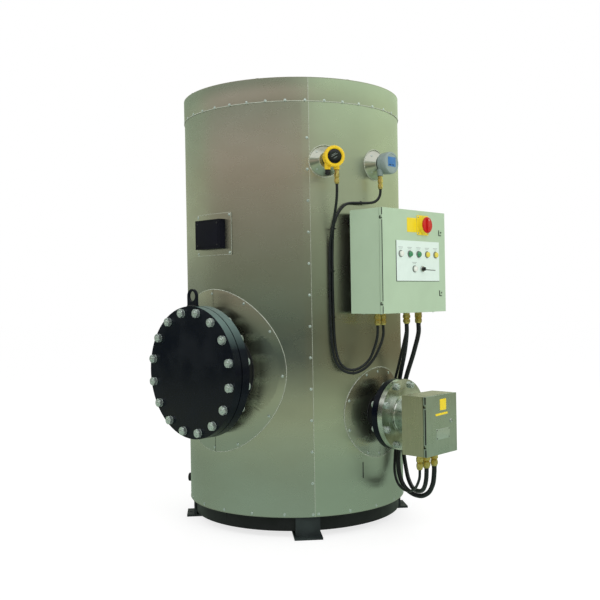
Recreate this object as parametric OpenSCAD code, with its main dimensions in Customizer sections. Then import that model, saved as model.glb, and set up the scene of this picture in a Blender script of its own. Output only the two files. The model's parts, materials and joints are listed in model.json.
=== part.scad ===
// Calorifier: an insulated hot water vessel on four feet, with a bolted manway, an electric
// heater and its terminal box, a control panel, two instruments and the cables between them.
// Millimetres, +Z up. The origin is on the floor at the vessel's axis. The manway faces -Y,
// the heater, the terminal box and the control panel face +X.

/* [Vessel] */
// Outside radius of the pressure vessel
vessel_r = 530; // [510:1:540]
// Plate thickness of the shell and heads
vessel_t = 10; // [6:0.5:14]
// Height of the weld between the shell and the lower head
shell_bottom = 330; // [310:5:360]
// Height of the weld between the shell and the upper head
shell_top = 1890; // [1860:5:1910]
// Depth of each dished head
head_h = 260; // [220:5:265]

/* [Base] */
// Plate thickness of the skirt that carries the vessel
skirt_t = 12; // [8:1:16]
// Height of the skirt's lower edge above the foot plates
skirt_lift = 22; // [16:1:40]
// Length of skirt that laps up the shell
skirt_lap = 60; // [30:5:100]
// Angle of the first foot from -Y towards +X
foot_az = 49; // [40:1:55]
// Width of a foot plate
foot_w = 135; // [110:1:160]
// Thickness of a foot plate
foot_t = 10; // [6:1:16]
// Distance that a foot plate stands out from the skirt
foot_out = 48; // [40:1:60]
// Distance that a foot plate runs in under the skirt
foot_in = 120; // [80:1:160]
// Width of the upright leg plate
leg_w = 118; // [90:1:130]
// Thickness of the leg plate and of the web behind it
leg_t = 10; // [6:1:14]
// Diameter of the anchor hole in each foot
anchor_d = 14; // [10:0.5:18]
// Distance from the anchor hole to the foot's outer edge
anchor_edge = 19; // [16:0.5:24]

/* [Cladding] */
// Distance from the vessel's outside to the cladding's outside
insulation = 40; // [36:1:70]
// Sheet thickness of the cladding
clad_t = 1.5; // [0.8:0.1:3]
// Height of the cladding's lower edge above the floor
clad_bottom = 103; // [90:1:130]
// Distance from the upper head's top to the top of the roof
roof_gap = 34; // [30:1:60]
// Height of the top band
band_h = 115; // [80:1:160]
// Length of band that laps over the sheet below it
band_lap = 20; // [10:1:40]

/* [Manway] */
// Height of the manway's axis
manway_z = 792; // [700:1:860]
// Outside radius of the manway's neck
manway_pipe_r = 228.6; // [200:0.1:240]
// Wall of the manway's neck
manway_pipe_t = 12; // [8:0.5:20]
// Distance from the cladding to the back of the neck flange
manway_out = 60; // [48:1:100]
// Radius of the manway's flange and cover
manway_flange_r = 317.5; // [300:0.5:330]
// Thickness of the neck flange
manway_flange_t = 44; // [30:1:50]
// Thickness of the cover
manway_cover_t = 40; // [25:1:50]
// Thickness of the gasket
manway_gasket_t = 5; // [3:0.5:8]
// Outside radius of the gasket
manway_gasket_r = 275; // [255:1:285]
// Radius of the sheet rosette around the manway's neck
manway_rosette_r = 398; // [340:1:420]
// Outside radius of the lifting eye
eye_r = 34; // [32:0.5:44]
// Radius of the hole in the lifting eye
eye_hole_r = 25; // [18:0.5:26]
// Thickness of the lifting eye
eye_t = 13; // [10:1:24]
// Height of the eye's centre above the cover's edge
eye_rise = 48; // [42:1:60]

/* [Heater] */
// Height of the heater's axis
heater_z = 572; // [540:1:600]
// Outside radius of the heater's nozzle
heater_pipe_r = 84.1; // [80:0.1:90]
// Wall of the heater's nozzle
heater_pipe_t = 8; // [5:0.5:12]
// Distance from the cladding to the back of the nozzle's flange
heater_out = 89; // [60:1:120]
// Radius of both heater flanges
heater_flange_r = 170; // [160:1:180]
// Thickness of the nozzle's flange
nozzle_flange_t = 30; // [20:1:36]
// Thickness of the heater's own flange
heater_flange_t = 27; // [20:1:36]
// Thickness of the heater's gasket
heater_gasket_t = 4; // [2:0.5:6]
// Radius of the heater's gasket
heater_gasket_r = 108; // [100:1:120]
// Radius of the rosette around the heater's nozzle
heater_rosette_r = 222; // [190:1:240]
// Radius of the tube between the flange and the terminal box
heater_tube_r = 84; // [70:1:100]
// Wall of that tube
heater_tube_t = 3; // [2:0.5:6]
// Length of that tube
heater_tube_l = 81; // [60:1:110]

/* [Terminal box] */
// Width of the terminal box
box_w = 248; // [230:1:300]
// Height of the terminal box
box_h = 274; // [250:1:300]
// Depth of the terminal box with its door
box_d = 136; // [110:1:150]
// Distance of the box's centre below the heater's axis
box_drop = 28; // [0:1:40]
// Thickness of the terminal box's door
box_door_t = 14; // [13:0.5:20]
// Distance from the back of the box to its glands
box_gland_out = 52; // [40:1:64]
// Length of the terminal box's glands
box_gland_len = 76; // [50:1:84]

/* [Control panel] */
// Width of the control panel
panel_w = 500; // [460:1:540]
// Height of the control panel
panel_h = 486; // [440:1:520]
// Depth of the control panel with its door
panel_d = 192; // [170:1:220]
// Distance from the cladding to the back of the panel
panel_out = 28; // [22:1:60]
// Height of the panel's centre
panel_z = 1305; // [1280:1:1330]
// Sideways offset of the panel's centre from the vessel's axis
panel_x = 18; // [-20:1:40]
// Thickness of the panel's door
panel_door_t = 18; // [15:0.5:24]
// Distance from the back of the panel to its front row of glands
panel_gland_out = 92; // [70:1:110]

/* [Enclosures] */
// Sheet thickness of both enclosures
sheet_t = 2; // [1.5:0.1:2.5]
// Width of the rim around an enclosure's mouth
rim_w = 24; // [23:0.5:30]
// Gap between a closed door and the rim
door_gap = 7; // [7:0.5:10]
// Distance of the hinge's axis from the door's left edge
hinge_in = 5; // [5:0.5:6]
// Distance of the hinge's axis from the door's front
hinge_back = 7; // [7:0.5:8]
// Radius of a hinge pin
hinge_pin_r = 2.5; // [2:0.1:2.8]
// Distance from a hinge to the door's nearest end
hinge_end = 45; // [30:1:60]
// Radial clearance at pins and shafts
pin_gap = 0.3; // [0.2:0.05:0.4]

/* [Panel front] */
// Width of the legend plate
legend_w = 345; // [320:1:370]
// Height of the legend plate
legend_h = 190; // [170:1:210]
// Sideways place of the legend plate's centre
legend_x = 23; // [10:1:40]
// Height of the legend plate's centre above the panel's centre
legend_y = 2; // [-20:1:10]
// Distance between two lamps
lamp_pitch = 70; // [55:1:75]
// Radius of a lamp
lamp_r = 12; // [8:0.5:16]
// Width of the isolator's plate
isolator_w = 94; // [80:1:100]
// Sideways place of the isolator
isolator_x = 62; // [40:1:80]
// Height of the isolator above the panel's centre
isolator_y = 174; // [165:1:180]
// Radius of the isolator's knob
isolator_r = 38; // [30:0.5:42]
// Radius of the key switch's collar
key_r = 15; // [12:0.5:18]

/* [Instruments] */
// Distance of both instruments below the weld between the shell and the upper head
instrument_drop = 103; // [80:1:140]
// Radius of the weather cone's foot
cone_r = 78; // [66:1:95]
// Radius of the weather cone's top
cone_top_r = 40; // [30:1:50]
// Distance that the weather cone stands out from the cladding
cone_h = 36; // [28:1:50]
// Radius of an instrument's stem
stem_r = 13; // [10:0.5:18]
// Radius of the yellow housing
yellow_r = 50; // [42:0.5:56]
// Radius of the grey housing
grey_r = 54; // [46:0.5:58]
// Depth of an instrument's housing
housing_d = 64; // [56:1:74]
// Length of stem between the weather cone and the yellow housing
yellow_stem_l = 52; // [36:1:70]
// Length of stem between the weather cone and the grey housing
grey_stem_l = 6; // [4:1:40]

/* [Nameplate and drain] */
// Width of the nameplate box
name_w = 180; // [150:1:200]
// Height of the nameplate box
name_h = 142; // [120:1:160]
// Distance that the nameplate box stands out
name_d = 32; // [20:1:45]
// Height of the nameplate's sheet centre
name_z = 1457; // [1400:1:1500]
// Width of the sheet behind the nameplate
name_sheet_w = 255; // [220:1:280]
// Height of the sheet behind the nameplate
name_sheet_h = 204; // [180:1:230]
// Outside radius of the drain pipe
drain_r = 22.5; // [17:0.5:28]
// Wall of the drain pipe
drain_t = 3.6; // [2:0.1:5]
// Height of the drain pipe
drain_z = 154; // [145:1:230]
// Angle of the drain pipe from -Y towards +X
drain_az = -60; // [-70:1:-50]
// Length of drain pipe outside the cladding
drain_out = 48; // [30:1:80]

/* [Hidden] */
$fn = 96;

// Directions, as angles from -Y towards +X
manway_az = 0;
heater_az = 90;
panel_az = 90;
yellow_az = 60;
grey_az = 90;

// Seams between the skirt's plates and between the cladding's sheets
skirt_seams = [for (i = [0:3]) foot_az - 45 + 90 * i];
clad_seams = [for (i = [0:2]) 52.3 + 120 * i];
seam_gap = 1;

// Heights and radii that follow from the driving dimensions
cut = 1;
clad_r = vessel_r + insulation;
instrument_z = shell_top - instrument_drop;
skirt_bottom = foot_t + skirt_lift;
skirt_r = vessel_r + skirt_t;
foot_r = skirt_r + foot_out;
clad_top = shell_top + head_h + roof_gap;
band_bottom = clad_top - band_h;
sheet_r = clad_r + clad_t;
lay_gap = 0.2;
lay_r = sheet_r + lay_gap;
hole_gap = 3;
weld_in = 10;

// Stations along the manway's axis
manway_flange_back = clad_r + manway_out;
manway_flange_face = manway_flange_back + manway_flange_t;
manway_cover_back = manway_flange_face + manway_gasket_t;
manway_reach = manway_cover_back + manway_cover_t;

// Stations along the heater's axis
nozzle_flange_back = clad_r + heater_out;
nozzle_face = nozzle_flange_back + nozzle_flange_t;
heater_flange_back = nozzle_face + heater_gasket_t;
heater_reach = heater_flange_back + heater_flange_t;

// Enclosures
box_z = heater_z - box_drop;
box_back = heater_reach + heater_tube_l;
box_front = box_back + box_d;
panel_back = clad_r + panel_out;
panel_front = panel_back + panel_d;
eye_clear = 5;
arm_h = 4;
arm_wall = 1;
arm_in = 7;
arm_w = 10;
arm_lean = 60;
hinge_eye_r = 5;
hinge_eye_h = 14;
rail_w = 40;
rail_d = 18;
rail_spread = 150;
leg_r = 12;
leg_spread = 150;

// Glands: sideways place, hexagon radius and length
gland_len = 58;
box_glands = [[-62, 17], [-8, 20], [55, 19]];
panel_glands_at = [[-170, 16], [-128, 16], [58, 19], [156, 21]];
back_gland = [110, 15];
back_gland_in = 40;
instrument_gland_r = 13;
instrument_gland_len = 66;
boss_r = 13;
boss_len = 16;
yellow_gland_x = 20;
yellow_plug_x = -24;
grey_gland_x = -32;
boss_in = 40;
grey_boss_in = 50;
yellow_reach = clad_r + cone_h + yellow_stem_l + housing_d;
grey_reach = clad_r + cone_h + grey_stem_l + housing_d;

// Panel front details
legend_t = 2;
lamp_row_y = 34;
lamp_low_y = -36;
lamp_out = 8;
lamp_low_x = -10;
key_x = 50;
isolator_plate_t = 4;
collar_r = 40;
collar_d = 21;
knob_t = 14;
knob_gap = 0.5;
knob_shaft_r = 6;
knob_shaft_l = 9;
key_out = 8;
key_knob_r = 9;
key_knob_t = 14;

// Cable routes: outside radius and the points of the centre line
small_cable_r = 6.5;
medium_cable_r = 10.5;
large_cable_r = 11.5;
cable_sides = 8;
yellow_route = [[601, -324, 1663], [601, -324, 1640], [591, -317, 1590], [541, -290, 1475],
    [520, -282, 1420], [511, -280, 1360], [511, -280, 980],
    [516, -276, 895], [530, -266, 830], [556, -247, 793], [594, -218, 781], [631, -187, 800],
    [660, -159, 838], [681, -132, 895], [690, -110, 960], [690, -110, 1004]];
grey_route = [[626, -32, 1659], [626, -32, 1649], [623.8, -35.6, 1628], [617.6, -45.7, 1610],
    [608.3, -60.9, 1598], [597.4, -78.8, 1594], [577, -112, 1592], [548, -192, 1586],
    [534, -227, 1555], [522, -256, 1495], [517, -265, 1420], [517, -265, 980],
    [525, -264, 895], [541, -258, 836], [562, -242, 805], [593, -219, 796], [625, -192, 812],
    [652, -168, 847], [673, -161, 895], [687, -154, 945], [690, -152, 978], [690, -152, 1004]];
cable_1_route = [[650, 128, 1004], [650, 128, 980], [612, 108, 795], [580, 120, 715],
    [571, 142, 640], [570, 144, 500], [577, 112, 335], [596, 84, 265], [632, 60, 220],
    [684, 38, 200], [740, 14, 204], [797, -22, 233], [837, -51, 274], [849, -59, 296],
    [853, -62, 320], [853, -62, 331]];
cable_2_route = [[690, 76, 1004], [690, 76, 965], [668, 90, 878], [596, 132, 700],
    [590, 138, 600], [588, 144, 470], [594, 158, 370], [612, 150, 300], [650, 122, 236],
    [695, 94, 202], [745, 66, 197], [801, 28, 214], [829, 9, 241], [847, -4, 278],
    [853, -8, 320], [853, -8, 331]];
cable_3_route = [[690, 174, 1004], [690, 174, 960], [672, 158, 865], [618, 146, 690],
    [616, 150, 590], [604, 114, 390], [604, 103, 318], [615, 98, 253], [646, 93, 200],
    [696, 91, 172], [752, 87, 169], [801, 79, 194], [835, 67, 242], [850, 57, 292],
    [853, 55, 318], [853, 55, 331]];

// Draws in a frame whose X runs to the right, Y up and Z straight out from the vessel's axis
module radial(az, z) {
    rotate([0, 0, az]) translate([0, 0, z]) rotate([90, 0, 0]) children();
}

// A pipe along Z
module pipe(r, t, z0, z1) {
    translate([0, 0, z0]) difference() {
        cylinder(r = r, h = z1 - z0);
        translate([0, 0, -cut]) cylinder(r = r - t, h = z1 - z0 + 2 * cut);
    }
}

// A disc along Z
module disc(r, z0, z1) {
    translate([0, 0, z0]) cylinder(r = r, h = z1 - z0);
}

// A block centred on X and Y
module block(w, h, z0, z1) {
    translate([-w / 2, -h / 2, z0]) cube([w, h, z1 - z0]);
}

// Cuts a round wall of radius r into plates at the angles of its seams
module seams(angles, r, z0, z1) {
    for (az = angles) radial(az, (z0 + z1) / 2) block(seam_gap, z1 - z0 + 2 * cut, 0, r + cut);
}

// Distance from the axis at which a round nozzle leaves a cylinder of radius r
function saddle(r, nozzle_r) = sqrt(r * r - nozzle_r * nozzle_r);

function head_profile(r, h, z0, side, steps = 10) =
    [for (i = [0:steps]) [r * cos(90 * i / steps), z0 + side * h * sin(90 * i / steps)]];

// A dished head: side is 1 for the upper one and -1 for the lower one
module dished_head(z0, side) {
    outer = head_profile(vessel_r, head_h, z0, side);
    inner = head_profile(vessel_r - vessel_t, head_h - vessel_t, z0, side);
    rotate_extrude() polygon(concat(outer, [for (i = [len(inner) - 1:-1:0]) inner[i]]));
}

module vessel_shell() {
    color("dimgray") difference() {
        pipe(vessel_r, vessel_t, shell_bottom, shell_top);
        radial(manway_az, manway_z) disc(manway_pipe_r, 0, clad_r);
        radial(heater_az, heater_z) disc(heater_pipe_r, 0, clad_r);
    }
}

module vessel_upper_head() {
    color("dimgray") dished_head(shell_top, 1);
}

module vessel_lower_head() {
    color("dimgray") dished_head(shell_bottom, -1);
}

module base_skirt() {
    color([0.09, 0.1, 0.12]) difference() {
        pipe(skirt_r, skirt_t, skirt_bottom, shell_bottom + skirt_lap);
        seams(skirt_seams, skirt_r, skirt_bottom, shell_bottom + skirt_lap);
        radial(drain_az, drain_z) disc(drain_r, 0, clad_r);
    }
}

// A foot: a floor plate, a leg plate on the skirt's outside and a web under the skirt
module foot(az) {
    rotate([0, 0, az]) difference() {
        union() {
            translate([-foot_w / 2, -foot_r, 0]) cube([foot_w, foot_out + foot_in, foot_t]);
            difference() {
                translate([-leg_w / 2, -skirt_r - leg_t, foot_t])
                    cube([leg_w, foot_out, clad_bottom - foot_t]);
                cylinder(r = skirt_r, h = clad_bottom + cut);
            }
            translate([-leg_t / 2, -skirt_r - leg_t / 2, foot_t])
                cube([leg_t, foot_in - leg_t, skirt_lift]);
        }
        translate([0, anchor_edge - foot_r, -cut]) cylinder(d = anchor_d, h = foot_t + 2 * cut);
    }
}

module feet() {
    color([0.09, 0.1, 0.12]) for (i = [0:3]) foot(foot_az + 90 * i);
}

module cladding_shell() {
    color([0.6, 0.64, 0.58]) difference() {
        pipe(clad_r, clad_t, clad_bottom + clad_t, band_bottom + band_lap);
        seams(clad_seams, clad_r, clad_bottom, clad_top);
        radial(manway_az, manway_z) disc(manway_pipe_r + hole_gap, 0, clad_r + cut);
        radial(heater_az, heater_z) disc(heater_pipe_r + hole_gap, 0, clad_r + cut);
        radial(drain_az, drain_z) disc(drain_r, 0, clad_r + cut);
        radial(yellow_az, instrument_z) disc(stem_r + hole_gap, 0, clad_r + cut);
        radial(grey_az, instrument_z) disc(stem_r + hole_gap, 0, clad_r + cut);
        panel_leg_places() disc(leg_r + hole_gap, 0, clad_r + cut);
    }
}

module cladding_top_band() {
    color([0.6, 0.64, 0.58]) pipe(sheet_r, clad_t, band_bottom, clad_top - clad_t);
}

module cladding_roof() {
    color([0.6, 0.64, 0.58]) disc(sheet_r, clad_top - clad_t, clad_top);
}

module cladding_base_ring() {
    color([0.6, 0.64, 0.58]) difference() {
        pipe(clad_r, clad_r - skirt_r, clad_bottom, clad_bottom + clad_t);
        seams(skirt_seams, clad_r, clad_bottom, clad_bottom + clad_t);
    }
}

// Share of its width that a disc of radius r keeps once it is bent around the cladding
function bent(r) = clad_r * sin(r / clad_r * 180 / PI) / r;

// A sheet ring that lies on the cladding around a nozzle, in two halves
module rosette(az, z, r, hole_r) {
    difference() {
        intersection() {
            pipe(lay_r, clad_t, z - r, z + r);
            radial(az, z) scale([bent(r), 1, 1]) disc(r, 0, lay_r + cut);
        }
        radial(az, z) disc(hole_r, 0, lay_r + 2 * cut);
        seams([az], lay_r, z - r, z + r);
    }
}

module manway_neck() {
    start = saddle(vessel_r - vessel_t, manway_pipe_r) - weld_in;
    color([0.09, 0.1, 0.12]) radial(manway_az, manway_z)
        pipe(manway_pipe_r, manway_pipe_t, start, manway_flange_face);
}

module manway_rosette() {
    color([0.62, 0.66, 0.6]) rosette(manway_az, manway_z, manway_rosette_r, manway_pipe_r);
}

module manway_flange() {
    color([0.09, 0.1, 0.12]) radial(manway_az, manway_z)
        pipe(manway_flange_r, manway_flange_r - manway_pipe_r, manway_flange_back, manway_flange_face);
}

module manway_gasket() {
    color([0.2, 0.2, 0.2]) radial(manway_az, manway_z)
        pipe(manway_gasket_r, manway_gasket_r - manway_pipe_r + manway_pipe_t,
            manway_flange_face, manway_cover_back);
}

module manway_cover() {
    color([0.09, 0.1, 0.12]) radial(manway_az, manway_z)
        disc(manway_flange_r, manway_cover_back, manway_reach);
}

// The lifting eye stands on the cover's edge
module lifting_eye() {
    middle = (manway_cover_back + manway_reach) / 2;
    color([0.09, 0.1, 0.12]) radial(manway_az, manway_z) difference() {
        union() {
            translate([0, manway_flange_r + eye_rise, middle - eye_t / 2]) cylinder(r = eye_r, h = eye_t);
            translate([-eye_r, manway_flange_r - weld_in, middle - eye_t / 2])
                cube([2 * eye_r, eye_rise + weld_in, eye_t]);
        }
        translate([0, manway_flange_r + eye_rise, 0]) cylinder(r = eye_hole_r, h = manway_reach);
        disc(manway_flange_r, 0, manway_reach);
    }
}

module heater_nozzle() {
    start = saddle(vessel_r - vessel_t, heater_pipe_r) - weld_in;
    color([0.09, 0.1, 0.12]) radial(heater_az, heater_z)
        pipe(heater_pipe_r, heater_pipe_t, start, nozzle_face);
}

module heater_rosette() {
    color([0.62, 0.66, 0.6]) rosette(heater_az, heater_z, heater_rosette_r, heater_pipe_r);
}

module nozzle_flange() {
    color([0.09, 0.1, 0.12]) radial(heater_az, heater_z)
        pipe(heater_flange_r, heater_flange_r - heater_pipe_r, nozzle_flange_back, nozzle_face);
}

module heater_gasket() {
    color([0.2, 0.2, 0.2]) radial(heater_az, heater_z)
        pipe(heater_gasket_r, heater_gasket_r - heater_pipe_r + heater_pipe_t,
            nozzle_face, heater_flange_back);
}

module heater_flange() {
    color([0.72, 0.74, 0.72]) radial(heater_az, heater_z)
        disc(heater_flange_r, heater_flange_back, heater_reach);
}

module heater_tube() {
    color([0.72, 0.74, 0.72]) radial(heater_az, heater_z)
        pipe(heater_tube_r, heater_tube_t, heater_reach, box_back);
}

// One hinge arm on an enclosure's rim, with its pin, at the height y. It reaches the hinge's
// axis from the right, so that the door's edge can swing past behind it.
module hinge_arm(w, front, door_t, y) {
    ax = hinge_in - w / 2;
    az = front - hinge_back;
    root = front - door_t - door_gap - sheet_t;
    arm_r = hinge_pin_r + arm_wall;
    side = arm_r * [cos(arm_lean), sin(arm_lean)];
    translate([0, y, 0]) rotate([90, 0, 0]) linear_extrude(arm_h, center = true) union() {
        translate([ax, az]) circle(r = arm_r);
        polygon([[ax, az] - side, [ax, az] + side, [ax + arm_in + arm_w, root], [ax + arm_in, root]]);
    }
    translate([ax, y, az]) rotate([-90, 0, 0]) cylinder(r = hinge_pin_r, h = arm_h / 2 + hinge_eye_h);
}

// An enclosure's body: a sheet box with a rim around its mouth and two hinge arms
module enclosure_body(w, h, back, front, door_t) {
    rim = front - door_t - door_gap;
    difference() {
        block(w, h, back, rim);
        block(w - 2 * sheet_t, h - 2 * sheet_t, back + sheet_t, rim - sheet_t);
        block(w - 2 * rim_w, h - 2 * rim_w, rim - 2 * sheet_t, rim + cut);
    }
    for (side = [-1, 1]) hinge_arm(w, front, door_t, side * (h / 2 - hinge_end));
}

// One hinge eye inside the door, which turns on an arm's pin
module hinge_eye(w, front, y) {
    ax = hinge_in - w / 2;
    az = front - hinge_back;
    y0 = y + arm_h / 2 + pin_gap;
    difference() {
        union() {
            translate([ax, y0, az]) rotate([-90, 0, 0]) cylinder(r = hinge_eye_r, h = hinge_eye_h);
            translate([ax - hinge_in + sheet_t / 2, y0, az])
                cube([hinge_in + hinge_eye_r - sheet_t / 2, hinge_eye_h, hinge_back - sheet_t / 2]);
        }
        translate([ax, y0 - cut, az]) rotate([-90, 0, 0])
            cylinder(r = hinge_pin_r + pin_gap, h = hinge_eye_h + 2 * cut);
    }
}

// An enclosure's door: a sheet tray with notches for the hinge arms and two hinge eyes
module enclosure_door(w, h, front, door_t) {
    back = front - door_t;
    notch_h = arm_h + 2 * eye_clear;
    difference() {
        block(w, h, back, front);
        block(w - 2 * sheet_t, h - 2 * sheet_t, back - cut, front - sheet_t);
        for (side = [-1, 1]) translate([-w / 2 - cut, side * (h / 2 - hinge_end) - notch_h / 2, back - cut])
            cube([sheet_t + 2 * cut, notch_h, door_t - sheet_t + cut]);
    }
    for (side = [-1, 1]) hinge_eye(w, front, side * (h / 2 - hinge_end));
}

module terminal_box() {
    color([0.66, 0.68, 0.6]) radial(heater_az, box_z)
        enclosure_body(box_w, box_h, box_back, box_front, box_door_t);
}

module terminal_door() {
    color([0.68, 0.7, 0.62]) radial(heater_az, box_z)
        enclosure_door(box_w, box_h, box_front, box_door_t);
}

// A cable gland that hangs from z = 0: a flanged body, a hexagon nut and a tapered end
module gland(r, len) {
    translate([0, 0, -len * 0.25]) cylinder(r = r * 0.82, h = len * 0.25);
    translate([0, 0, -len * 0.5]) cylinder(r = r, h = len * 0.25, $fn = 6);
    translate([0, 0, -len * 0.6]) cylinder(r = r * 0.8, h = len * 0.1);
    translate([0, 0, -len * 0.88]) cylinder(r = r * 0.95, h = len * 0.28, $fn = 6);
    translate([0, 0, -len]) cylinder(r1 = r * 0.7, r2 = r * 0.85, h = len * 0.12);
}

module terminal_glands() {
    color([0.72, 0.62, 0.32]) for (g = box_glands)
        translate([box_back + box_gland_out, g[0], box_z - box_h / 2]) gland(g[1], box_gland_len);
}

// The places of the legs that carry the panel's rails
module panel_leg_places() {
    for (sx = [-1, 1], sy = [-1, 1])
        radial(panel_az, panel_z + sy * rail_spread) translate([panel_x + sx * leg_spread, 0, 0]) children();
}

module panel_brackets() {
    color([0.55, 0.57, 0.55]) difference() {
        union() {
            for (sy = [-1, 1]) radial(panel_az, panel_z + sy * rail_spread) translate([panel_x, 0, 0])
                block(2 * leg_spread + 2 * rail_w, rail_w, panel_back - rail_d, panel_back);
            panel_leg_places() disc(leg_r, vessel_r / 2, panel_back - rail_d / 2);
        }
        translate([0, 0, shell_bottom]) cylinder(r = vessel_r, h = shell_top - shell_bottom);
    }
}

module panel_body() {
    color([0.66, 0.74, 0.66]) radial(panel_az, panel_z) translate([panel_x, 0, 0])
        enclosure_body(panel_w, panel_h, panel_back, panel_front, panel_door_t);
}

module panel_door() {
    color([0.7, 0.78, 0.68]) radial(panel_az, panel_z) translate([panel_x, 0, 0])
        enclosure_door(panel_w, panel_h, panel_front, panel_door_t);
}

module panel_glands() {
    color([0.72, 0.62, 0.32]) {
        for (g = panel_glands_at)
            translate([panel_back + panel_gland_out, panel_x + g[0], panel_z - panel_h / 2])
                gland(g[1], gland_len);
        translate([panel_back + panel_gland_out - back_gland_in, panel_x + back_gland[0],
            panel_z - panel_h / 2]) gland(back_gland[1], gland_len);
    }
}

// Draws on the front of the panel's door, at x and y from the panel's centre
module on_panel(x, y) {
    radial(panel_az, panel_z) translate([panel_x + x, y, panel_front]) children();
}

module legend_plate() {
    color([0.86, 0.9, 0.86]) on_panel(legend_x, legend_y) block(legend_w, legend_h, 0, legend_t);
}

module panel_lamps() {
    color([0.85, 0.8, 0.3]) {
        for (i = [-2:2]) on_panel(legend_x + i * lamp_pitch, lamp_row_y)
            disc(lamp_r, legend_t, legend_t + lamp_out);
        on_panel(lamp_low_x, lamp_low_y) disc(lamp_r, legend_t, legend_t + lamp_out);
    }
}

module isolator_plate() {
    color([0.93, 0.8, 0.15]) on_panel(isolator_x, isolator_y) difference() {
        union() {
            block(isolator_w, isolator_w, 0, isolator_plate_t);
            disc(collar_r, 0, isolator_plate_t + collar_d);
        }
        disc(knob_shaft_r + pin_gap, isolator_plate_t, isolator_plate_t + collar_d + cut);
    }
}

// A knob with a shaft that turns in the collar below it
module knob(r, t, seat, shaft_r, shaft_l, bar_w) {
    disc(r, seat + knob_gap, seat + knob_gap + t / 2);
    block(bar_w, 2 * r * 0.9, seat + knob_gap, seat + knob_gap + t);
    disc(shaft_r, seat - shaft_l, seat + knob_gap + t / 4);
}

module isolator_knob() {
    color([0.78, 0.12, 0.1]) on_panel(isolator_x, isolator_y)
        knob(isolator_r, knob_t, isolator_plate_t + collar_d, knob_shaft_r, knob_shaft_l, isolator_r / 2);
}

module key_switch() {
    color([0.75, 0.77, 0.78]) on_panel(key_x, lamp_low_y)
        pipe(key_r, key_r - knob_shaft_r - pin_gap, legend_t, legend_t + key_out);
}

module key_knob() {
    color([0.05, 0.05, 0.05]) on_panel(key_x, lamp_low_y)
        knob(key_knob_r, key_knob_t, legend_t + key_out, knob_shaft_r, key_out - cut, key_knob_r / 2);
}

// A weather cone: a sheet cone that sits on the cladding around an instrument's stem
module weather_cone(az) {
    difference() {
        radial(az, instrument_z) difference() {
            translate([0, 0, saddle(clad_r, cone_r) - cut])
                cylinder(r1 = cone_r, r2 = cone_top_r, h = clad_r + cone_h - saddle(clad_r, cone_r) + cut);
            disc(stem_r, 0, clad_r + 2 * cone_h);
        }
        translate([0, 0, instrument_z - 2 * cone_r]) cylinder(r = clad_r, h = 4 * cone_r);
    }
}

module weather_cones() {
    color([0.7, 0.74, 0.7]) {
        weather_cone(yellow_az);
        weather_cone(grey_az);
    }
}

// A stem from the vessel's shell to the back of a housing
module stem(az, reach) {
    difference() {
        radial(az, instrument_z) disc(stem_r, vessel_r / 2, reach - housing_d);
        translate([0, 0, shell_bottom]) cylinder(r = vessel_r, h = shell_top - shell_bottom);
    }
}

module instrument_stems() {
    color([0.7, 0.7, 0.7]) {
        stem(yellow_az, yellow_reach);
        stem(grey_az, grey_reach);
    }
}

// A round housing with a window recess in its face and bosses under it for glands
module housing(az, reach, r, boss_x, boss_at) {
    window_r = r * 0.6;
    cover_d = housing_d * 0.35;
    radial(az, instrument_z) difference() {
        union() {
            disc(r * 0.92, reach - housing_d, reach - cover_d);
            disc(r, reach - cover_d, reach - cover_d / 3);
            translate([0, 0, reach - cover_d / 3])
                cylinder(r1 = r, r2 = r * 0.86, h = cover_d / 3);
            for (x = boss_x) translate([x, 0, reach - boss_at]) rotate([90, 0, 0])
                cylinder(r = boss_r, h = r + boss_len / 2);
        }
        disc(window_r, reach - cover_d / 3, reach + cut);
    }
}

// The yellow housing has a blanking plug under its second boss
module yellow_housing() {
    color([0.93, 0.8, 0.15]) {
        housing(yellow_az, yellow_reach, yellow_r, [yellow_gland_x, yellow_plug_x], boss_in);
        under_boss(yellow_az, yellow_reach, yellow_r, yellow_plug_x, boss_in)
            translate([0, 0, -2 * boss_r]) cylinder(r = boss_r * 0.9, h = 2 * boss_r + cut);
    }
}

module grey_housing() {
    color([0.6, 0.66, 0.66])
        housing(grey_az, grey_reach, grey_r, [grey_gland_x], grey_boss_in);
}

// Hangs something below a housing's boss
module under_boss(az, reach, r, x, boss_at) {
    radial(az, instrument_z) translate([x, -r - boss_len / 2, reach - boss_at])
        rotate([-90, 0, 0]) children();
}

module instrument_glands() {
    color([0.72, 0.62, 0.32]) {
        under_boss(yellow_az, yellow_reach, yellow_r, yellow_gland_x, boss_in)
            gland(instrument_gland_r, instrument_gland_len);
        under_boss(grey_az, grey_reach, grey_r, grey_gland_x, grey_boss_in)
            gland(instrument_gland_r, instrument_gland_len);
    }
}

module nameplate_sheet() {
    color([0.62, 0.66, 0.6]) intersection() {
        pipe(lay_r, clad_t, name_z - name_sheet_h / 2, name_z + name_sheet_h / 2);
        radial(manway_az, name_z) block(name_sheet_w, name_sheet_h, 0, lay_r + cut);
    }
}

module nameplate_box() {
    color([0.07, 0.07, 0.09]) difference() {
        radial(manway_az, name_z) block(name_w, name_h, clad_r / 2, clad_r + name_d);
        translate([0, 0, name_z - name_h]) cylinder(r = lay_r, h = 2 * name_h);
    }
}

module drain_pipe() {
    color([0.07, 0.07, 0.09]) radial(drain_az, drain_z)
        pipe(drain_r, drain_t, vessel_r - 2 * skirt_t, clad_r + drain_out);
}

function unit(v) = v / norm(v);
function heading(p, i) = unit(p[min(i + 1, len(p) - 1)] - p[max(i - 1, 0)]);
function across(n, t) = unit(n - (n * t) * t);
function sides_of(p, i = 0, n = [1, 0, 0]) =
    i == len(p) ? [] : let (m = across(n, heading(p, i))) concat([m], sides_of(p, i + 1, m));

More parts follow.
